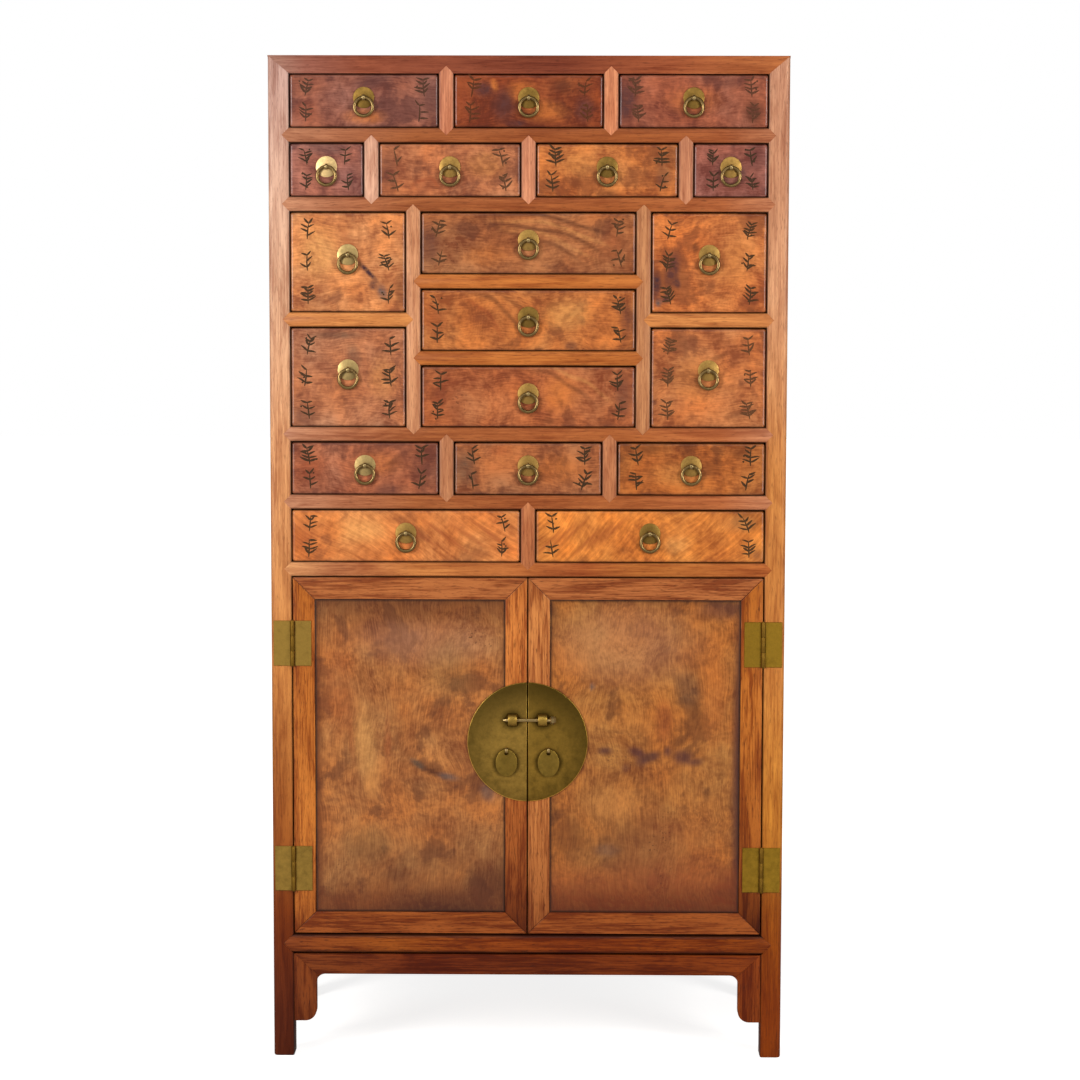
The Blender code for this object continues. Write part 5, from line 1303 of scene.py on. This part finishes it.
# The dark edge is a painted shade next to the frame.
DOOR_PANEL_EDGE = (0.0045, 0.9)  # width and strength of the dark edge
PANEL_TINTS = {"left": "#905a31", "right": "#8e5729"}
PANEL_WASHES = {
    "left": [
        (0.5, 0.99, 500, 46, 0, "umber", 0.55), (0.35, 0.9, 90, 30, 0, "plum", 0.35),
        (0.26, 0.54, 24, 74, 4, "honey", 0.5), (0.30, 0.42, 20, 40, -8, "amber", 0.45),
        (0.38, 0.55, 8, 70, 0, "rust", 0.4), (0.19, 0.56, 6, 60, 4, "rust", 0.3),
        (0.54, 0.475, 22, 8, -36, "smoke", 0.95), (0.62, 0.45, 26, 8, -20, "umber", 0.85),
        (0.70, 0.435, 24, 9, -12, "slate", 0.7), (0.91, 0.385, 18, 22, 20, "slate", 0.6),
        (0.5, 0.0, 600, 66, 0, "sienna", 0.7), (0.7, 0.0, 160, 46, 0, "umber", 0.75),
        (0.92, 0.1, 50, 44, 0, "umber", 0.7), (0.42, 0.12, 30, 16, 0, "umber", 0.4),
        (0.0, 0.4, 18, 500, 0, "sienna", 0.6), (0.28, 0.22, 55, 45, 0, "olive", 0.35),
        (0.5, 0.16, 400, 130, 0, "sienna", 0.12), (0.55, 0.1, 300, 90, 0, "umber", 0.25),
        (0.6, 0.86, 160, 50, 0, "tan", 0.45), (0.7, 0.78, 60, 70, 0, "olive", 0.3),
        (0.12, 0.72, 40, 120, 0, "rust", 0.3),
    ],
    "right": [
        (1.0, 0.42, 18, 400, 0, "plum", 0.85), (0.9, 0.97, 60, 24, 0, "plum", 0.6),
        (0.95, 0.06, 40, 70, 0, "sienna", 0.6), (0.72, 0.72, 30, 40, 10, "smoke", 0.4),
        (0.6, 0.62, 20, 50, 0, "rust", 0.4), (0.29, 0.52, 18, 10, 0, "plum", 0.8),
        (0.46, 0.515, 22, 12, -24, "plum", 0.95), (0.53, 0.50, 26, 12, 18, "violet", 0.8),
        (0.48, 0.485, 14, 14, 0, "plum", 0.7), (0.62, 0.52, 9, 13, 0, "plum", 0.8),
        (0.70, 0.50, 24, 18, -10, "plum", 0.85), (0.77, 0.485, 18, 10, 12, "plum", 0.75),
        (0.4, 0.86, 160, 90, 0, "tan", 0.4), (0.5, 0.16, 400, 130, 0, "sienna", 0.1),
        (0.4, 0.465, 12, 10, 20, "plum", 0.5), (0.22, 0.725, 6, 8, 0, "slate", 0.8),
        (0.4, 0.2, 110, 80, 0, "olive", 0.3), (0.6, 0.2, 130, 90, 0, "rust", 0.3),
        (0.3, 0.2, 30, 16, 0, "slate", 0.3), (0.5, 0.05, 600, 80, 0, "rust", 0.5),
        (0.5, 0.0, 600, 60, 0, "sienna", 0.85), (0.3, 0.85, 90, 70, 0, "honey", 0.15),
        (0.1, 0.24, 40, 50, 0, "umber", 0.5), (0.86, 0.7, 30, 120, 0, "orange", 0.35),
        (0.35, 0.35, 70, 40, 0, "amber", 0.35),
    ],
}
for side, word in SIDES:
    x = (side * DOOR_MEETING / 2, side * (INNER - DOOR_GAP))
    z = (DOORS[0] + DOOR_GAP, DOORS[1] - DOOR_GAP)
    field_x = (x[0] + side * DOOR_MEMBER, x[1] - side * DOOR_MEMBER)
    field_z = (z[0] + DOOR_MEMBER, z[1] - DOOR_MEMBER)
    members = {
        "meeting_stile": ([(x[0], z[0]), (field_x[0], field_z[0]), (field_x[0], field_z[1]), (x[0], z[1])], "Z"),
        "hinge_stile": ([(x[1], z[0]), (field_x[1], field_z[0]), (field_x[1], field_z[1]), (x[1], z[1])], "Z"),
        "top_rail": ([(x[0], z[1]), (x[1], z[1]), (field_x[1], field_z[1]), (field_x[0], field_z[1])], "X"),
        "bottom_rail": ([(x[0], z[0]), (x[1], z[0]), (field_x[1], field_z[0]), (field_x[0], field_z[0])], "X"),
    }
    for name, (outline, grain) in members.items():
        shape = board(outline, "Y", 0.0, DOOR)
        stops = STILE_SHADES.get(f"{word}_{name}", [(0.0, 1.0)])
        slices(shape, "Z", [place for place, _ in stops])
        ease(shape, arrises(shape, "Y", 0.0), DOOR_ARRIS, 3)
        tint = WOOD["door_" + name.split("_")[0] + (f"_{word}" if grain == "Z" else "")]
        made = add_piece(f"door_{word}_{name}", shape, f"door_{word}", bold_hardwood, "frame_wood", tint, grain,
                         face=0.0, stands_for=[f"door_frame_{word}"] if name == "hinge_stile" else [])
        shade(made, "Z", stops)
    panel_x = sorted((field_x[0] + side * GAP, field_x[1] - side * GAP))
    panel_z = (field_z[0] + GAP, field_z[1] - GAP)
    shape = face_slab(panel_x, (DOOR_PANEL_INSET, DOOR_PANEL_INSET + DOOR_PANEL), panel_z, DOOR_PANEL_CELL,
                      DOOR_PANEL_SOFT, DOOR_PANEL_SOFT)
    panel = add_piece(f"door_{word}_panel", shape, f"door_{word}", waxed_burl_panel, "burl_door", PANEL_TINTS[word],
                      "Z", vary=0.0, stands_for=[f"door_panel_{word}"])
    paint(panel.data, panel_x, panel_z, PANEL_WASHES[word], *DOOR_PANEL_EDGE)
print("doors done")

# %% [markdown]
# ## Hinges
# Plain rectangular leaves meet in a barrel of three knuckles. The post carries the outer two, the door the middle
# one, and a pin runs through all three with its ends just showing.

# %% Hinges
HINGE, HINGE_MARGIN, LEAF, LEAF_THICK, LEAF_IN = 0.083, 0.081, 0.034, 0.002, 0.0005
BARREL_R, PIN_R, PIN_SHOWS, RUN = 0.0036, 0.0024, 0.0008, 0.0004
TONGUE_IN, TONGUE_OVER = 0.0026, 0.0008  # the strip that joins a leaf to its knuckles
HINGE_OUT = BARREL_R + RUN
HINGE_CENTRES = {"upper": DOORS[1] - HINGE_MARGIN - HINGE / 2, "lower": DOORS[0] + HINGE_MARGIN + HINGE / 2}


def barrel(x, span, radius, soft=0.0004):
    """A rod on the axis of a hinge between two levels."""
    return disc((x, -HINGE_OUT, sum(span) / 2), radius, span[1] - span[0], Matrix.Identity(4), 20, soft)


for side, word in SIDES:
    axis = side * (INNER - DOOR_GAP / 2)
    for level, z in HINGE_CENTRES.items():
        whole, third = (z - HINGE / 2, z + HINGE / 2), HINGE / 6
        low, high = (whole[0], z - third - RUN / 2), (z + third + RUN / 2, whole[1])
        middle = (z - third + RUN / 2, z + third - RUN / 2)
        halves = ((side, "post", "case", (low, high)), (-side, "door", f"door_{word}", (middle,)))
        for away, holder, body, spans in halves:
            start = axis + away * (BARREL_R + RUN)
            name = f"hinge_{word}_{level}_{holder}"
            leaf = plank((start, start + away * (LEAF - BARREL_R)), (-LEAF_THICK, LEAF_IN), whole, LEAF_IN)
            fitting(f"{name}_leaf", leaf, body, aged_brass, f"hinge_{word}")
            tongue = (axis + away * TONGUE_IN, start + away * TONGUE_OVER)
            knuckles = []
            for span in spans:
                knuckles += [plank(tongue, (-LEAF_THICK, -RUN), span, 0.0002), barrel(axis, span, BARREL_R)]
            fitting(f"{name}_knuckles", joined(*knuckles), body, dull_brass, "barrel")
        pin = barrel(axis, (whole[0] - PIN_SHOWS, whole[1] + PIN_SHOWS), PIN_R)
        fitting(f"hinge_{word}_{level}_pin", pin, "case", aged_brass, "barrel")
print("hinges", len(HINGE_CENTRES) * 2)

# %% [markdown]
# ## Lock
# A round plate is split between the doors. A knuckle on each half takes a pin that locks the doors together, and two
# flat ovals hang below from their own eyes, to pull the doors by.

# %% Lock
LOCK_R, LOCK_THICK, LOCK_FACE, LOCK_ARRIS = 0.110, 0.002, 0.0023, 0.0012
LOCK_RIM, SPLIT_END, RIM_HIGHLIGHT = 0.0010, 0.004, 5.0
KNUCKLE_WIDTH, KNUCKLE_R, KNUCKLE_RISE, KNUCKLE_SOFT = 0.016, 0.008, 1.3, 0.0008
FOOT_SIZE, FOOT_THICK = (0.034, 0.028), 0.0012
PIN_OUT, SHANK_R, SHANK, SHANK_IN, TIP, TIP_OUT = 0.0072, 0.0032, 0.080, 0.002, 0.005, 0.0022
HEAD, HEAD_ROUND = (0.012, 0.0088, 0.014), 0.0032
DROP_X, DROP_Z, DROP_THICK, DROP_ARRIS = 0.0385, 0.574, 0.003, 0.0011
DROP_SIZE, DROP_BAR, DROP_HOLE = (0.0395, 0.0515), 0.005, (0.008, 0.0064)
DROP_EYE, DROP_RUN, DROP_CLEAR = 0.0045, 0.0006, 0.0005
DROP_SWEEP = math.hypot(DROP_BAR / 2, DROP_THICK / 2)
DROP_OUT = LOCK_FACE + DROP_CLEAR + DROP_SWEEP


def oval_disc(centre, size, depth, segments, turn=ON_Y):
    """A flat plate of a width and a height, with as many sides as segments."""
    shape = disc((0, 0, 0), 0.5, depth, turn, segments, 0.0)
    bmesh.ops.scale(shape, vec=(size[0], 1, size[1]), verts=shape.verts)
    bmesh.ops.translate(shape, vec=centre, verts=shape.verts)
    return shape


for side, word in SIDES:
    body, x = f"door_{word}", side * KNUCKLE_X
    shape = bmesh.new()
    bmesh.ops.create_cone(shape, cap_ends=True, segments=128, radius1=LOCK_R, radius2=LOCK_R, depth=LOCK_THICK,
                          matrix=Matrix.Translation((0, -GAP - LOCK_THICK / 2, LOCK_Z)) @ ON_Y)
    cut_off(shape, (side * DOOR_MEETING / 2, 0, 0), (-side, 0, 0))
    ease(shape, arrises(shape, "Y", -LOCK_FACE), LOCK_ARRIS, 3)
    half = fitting(f"lock_half_{word}", shape, body, lock_brass, f"lock_{word}", [f"lock_plate_{word}"])
    # A painted highlight keeps the very rim bright, through the painted shade and patina that lie over the rest.
    at, layer = places(half.data), half.data.attributes["tint"].data
    shades = np.tile(linear(BRASS[f"lock_{word}"]), (len(at), 1))
    rim = (np.hypot(at[:, 0], at[:, 2] - LOCK_Z) > LOCK_R - LOCK_RIM) & (np.abs(at[:, 0]) > SPLIT_END)
    shades[rim, :3] *= RIM_HIGHLIGHT
    layer.foreach_set("color", shades.astype(np.float32).ravel())

    hexagon = ON_Y @ Matrix.Rotation(math.pi / 6, 4, "Z")
    foot = oval_disc((x, -LOCK_FACE - FOOT_THICK / 2, KNUCKLE_Z), FOOT_SIZE, FOOT_THICK, 6, hexagon)
    fitting(f"lock_foot_{word}", foot, body, aged_brass, "foot")
    knuckle = disc((x, -PIN_OUT, 0), KNUCKLE_R, KNUCKLE_WIDTH, ON_X, 28, KNUCKLE_SOFT)
    bmesh.ops.scale(knuckle, vec=(1, 1, KNUCKLE_RISE), verts=knuckle.verts)
    bmesh.ops.translate(knuckle, vec=(0, 0, KNUCKLE_Z), verts=knuckle.verts)
    cut_off(knuckle, (0, -LOCK_FACE, 0), (0, 1, 0))
    bore = disc((x, -PIN_OUT, KNUCKLE_Z), SHANK_R + RUN, 2 * KNUCKLE_WIDTH, ON_X, 24, 0.0001)
    fitting(f"lock_knuckle_{word}", carved(knuckle, bore), body, aged_brass, "knuckle")

    pivot = Vector((side * DROP_X, -DROP_OUT, DROP_Z))
    eye = tube(pivot, DROP_SWEEP + DROP_RUN, EYE_WALL, DROP_EYE)
    cut_off(eye, (0, -LOCK_FACE, 0), (0, 1, 0))
    fitting(f"drop_eye_{word}", eye, body, handled_brass, "pin")
    oval = oval_disc(pivot + Vector((0, 0, (DROP_BAR - DROP_SIZE[1]) / 2)), DROP_SIZE, DROP_THICK, 48)
    ease(oval, [e for e in oval.edges if e.calc_face_angle(0.0) > 1.0], DROP_ARRIS, 3)
    hole = oval_disc(pivot - Vector((0, 0, (DROP_BAR + DROP_HOLE[1]) / 2)), DROP_HOLE, 2 * DROP_THICK, 24)
    fitting(f"oval_pull_{word}", carved(oval, hole), f"drop_pull_{word}", aged_brass, "oval", [f"drop_pull_{word}"])

head = plank((SHANK / 2, SHANK / 2 + HEAD[0]), (-PIN_OUT - HEAD[1] / 2, -PIN_OUT + HEAD[1] / 2),
             (KNUCKLE_Z - HEAD[2] / 2, KNUCKLE_Z + HEAD[2] / 2), HEAD_ROUND)
shank = disc((SHANK_IN / 2, -PIN_OUT, KNUCKLE_Z), SHANK_R, SHANK + SHANK_IN, ON_X, 24, 0.0003)
tip = bmesh.new()
bmesh.ops.create_cone(tip, cap_ends=True, segments=24, radius1=SHANK_R / 2, radius2=SHANK_R, depth=TIP,
                      matrix=Matrix.Translation((-SHANK / 2 - TIP_OUT, -PIN_OUT, KNUCKLE_Z)) @ ON_X)
fitting("draw_pin", joined(head, shank, tip), "lock_pin", handled_brass, "pin", ["lock_pin"])
print("lock done")
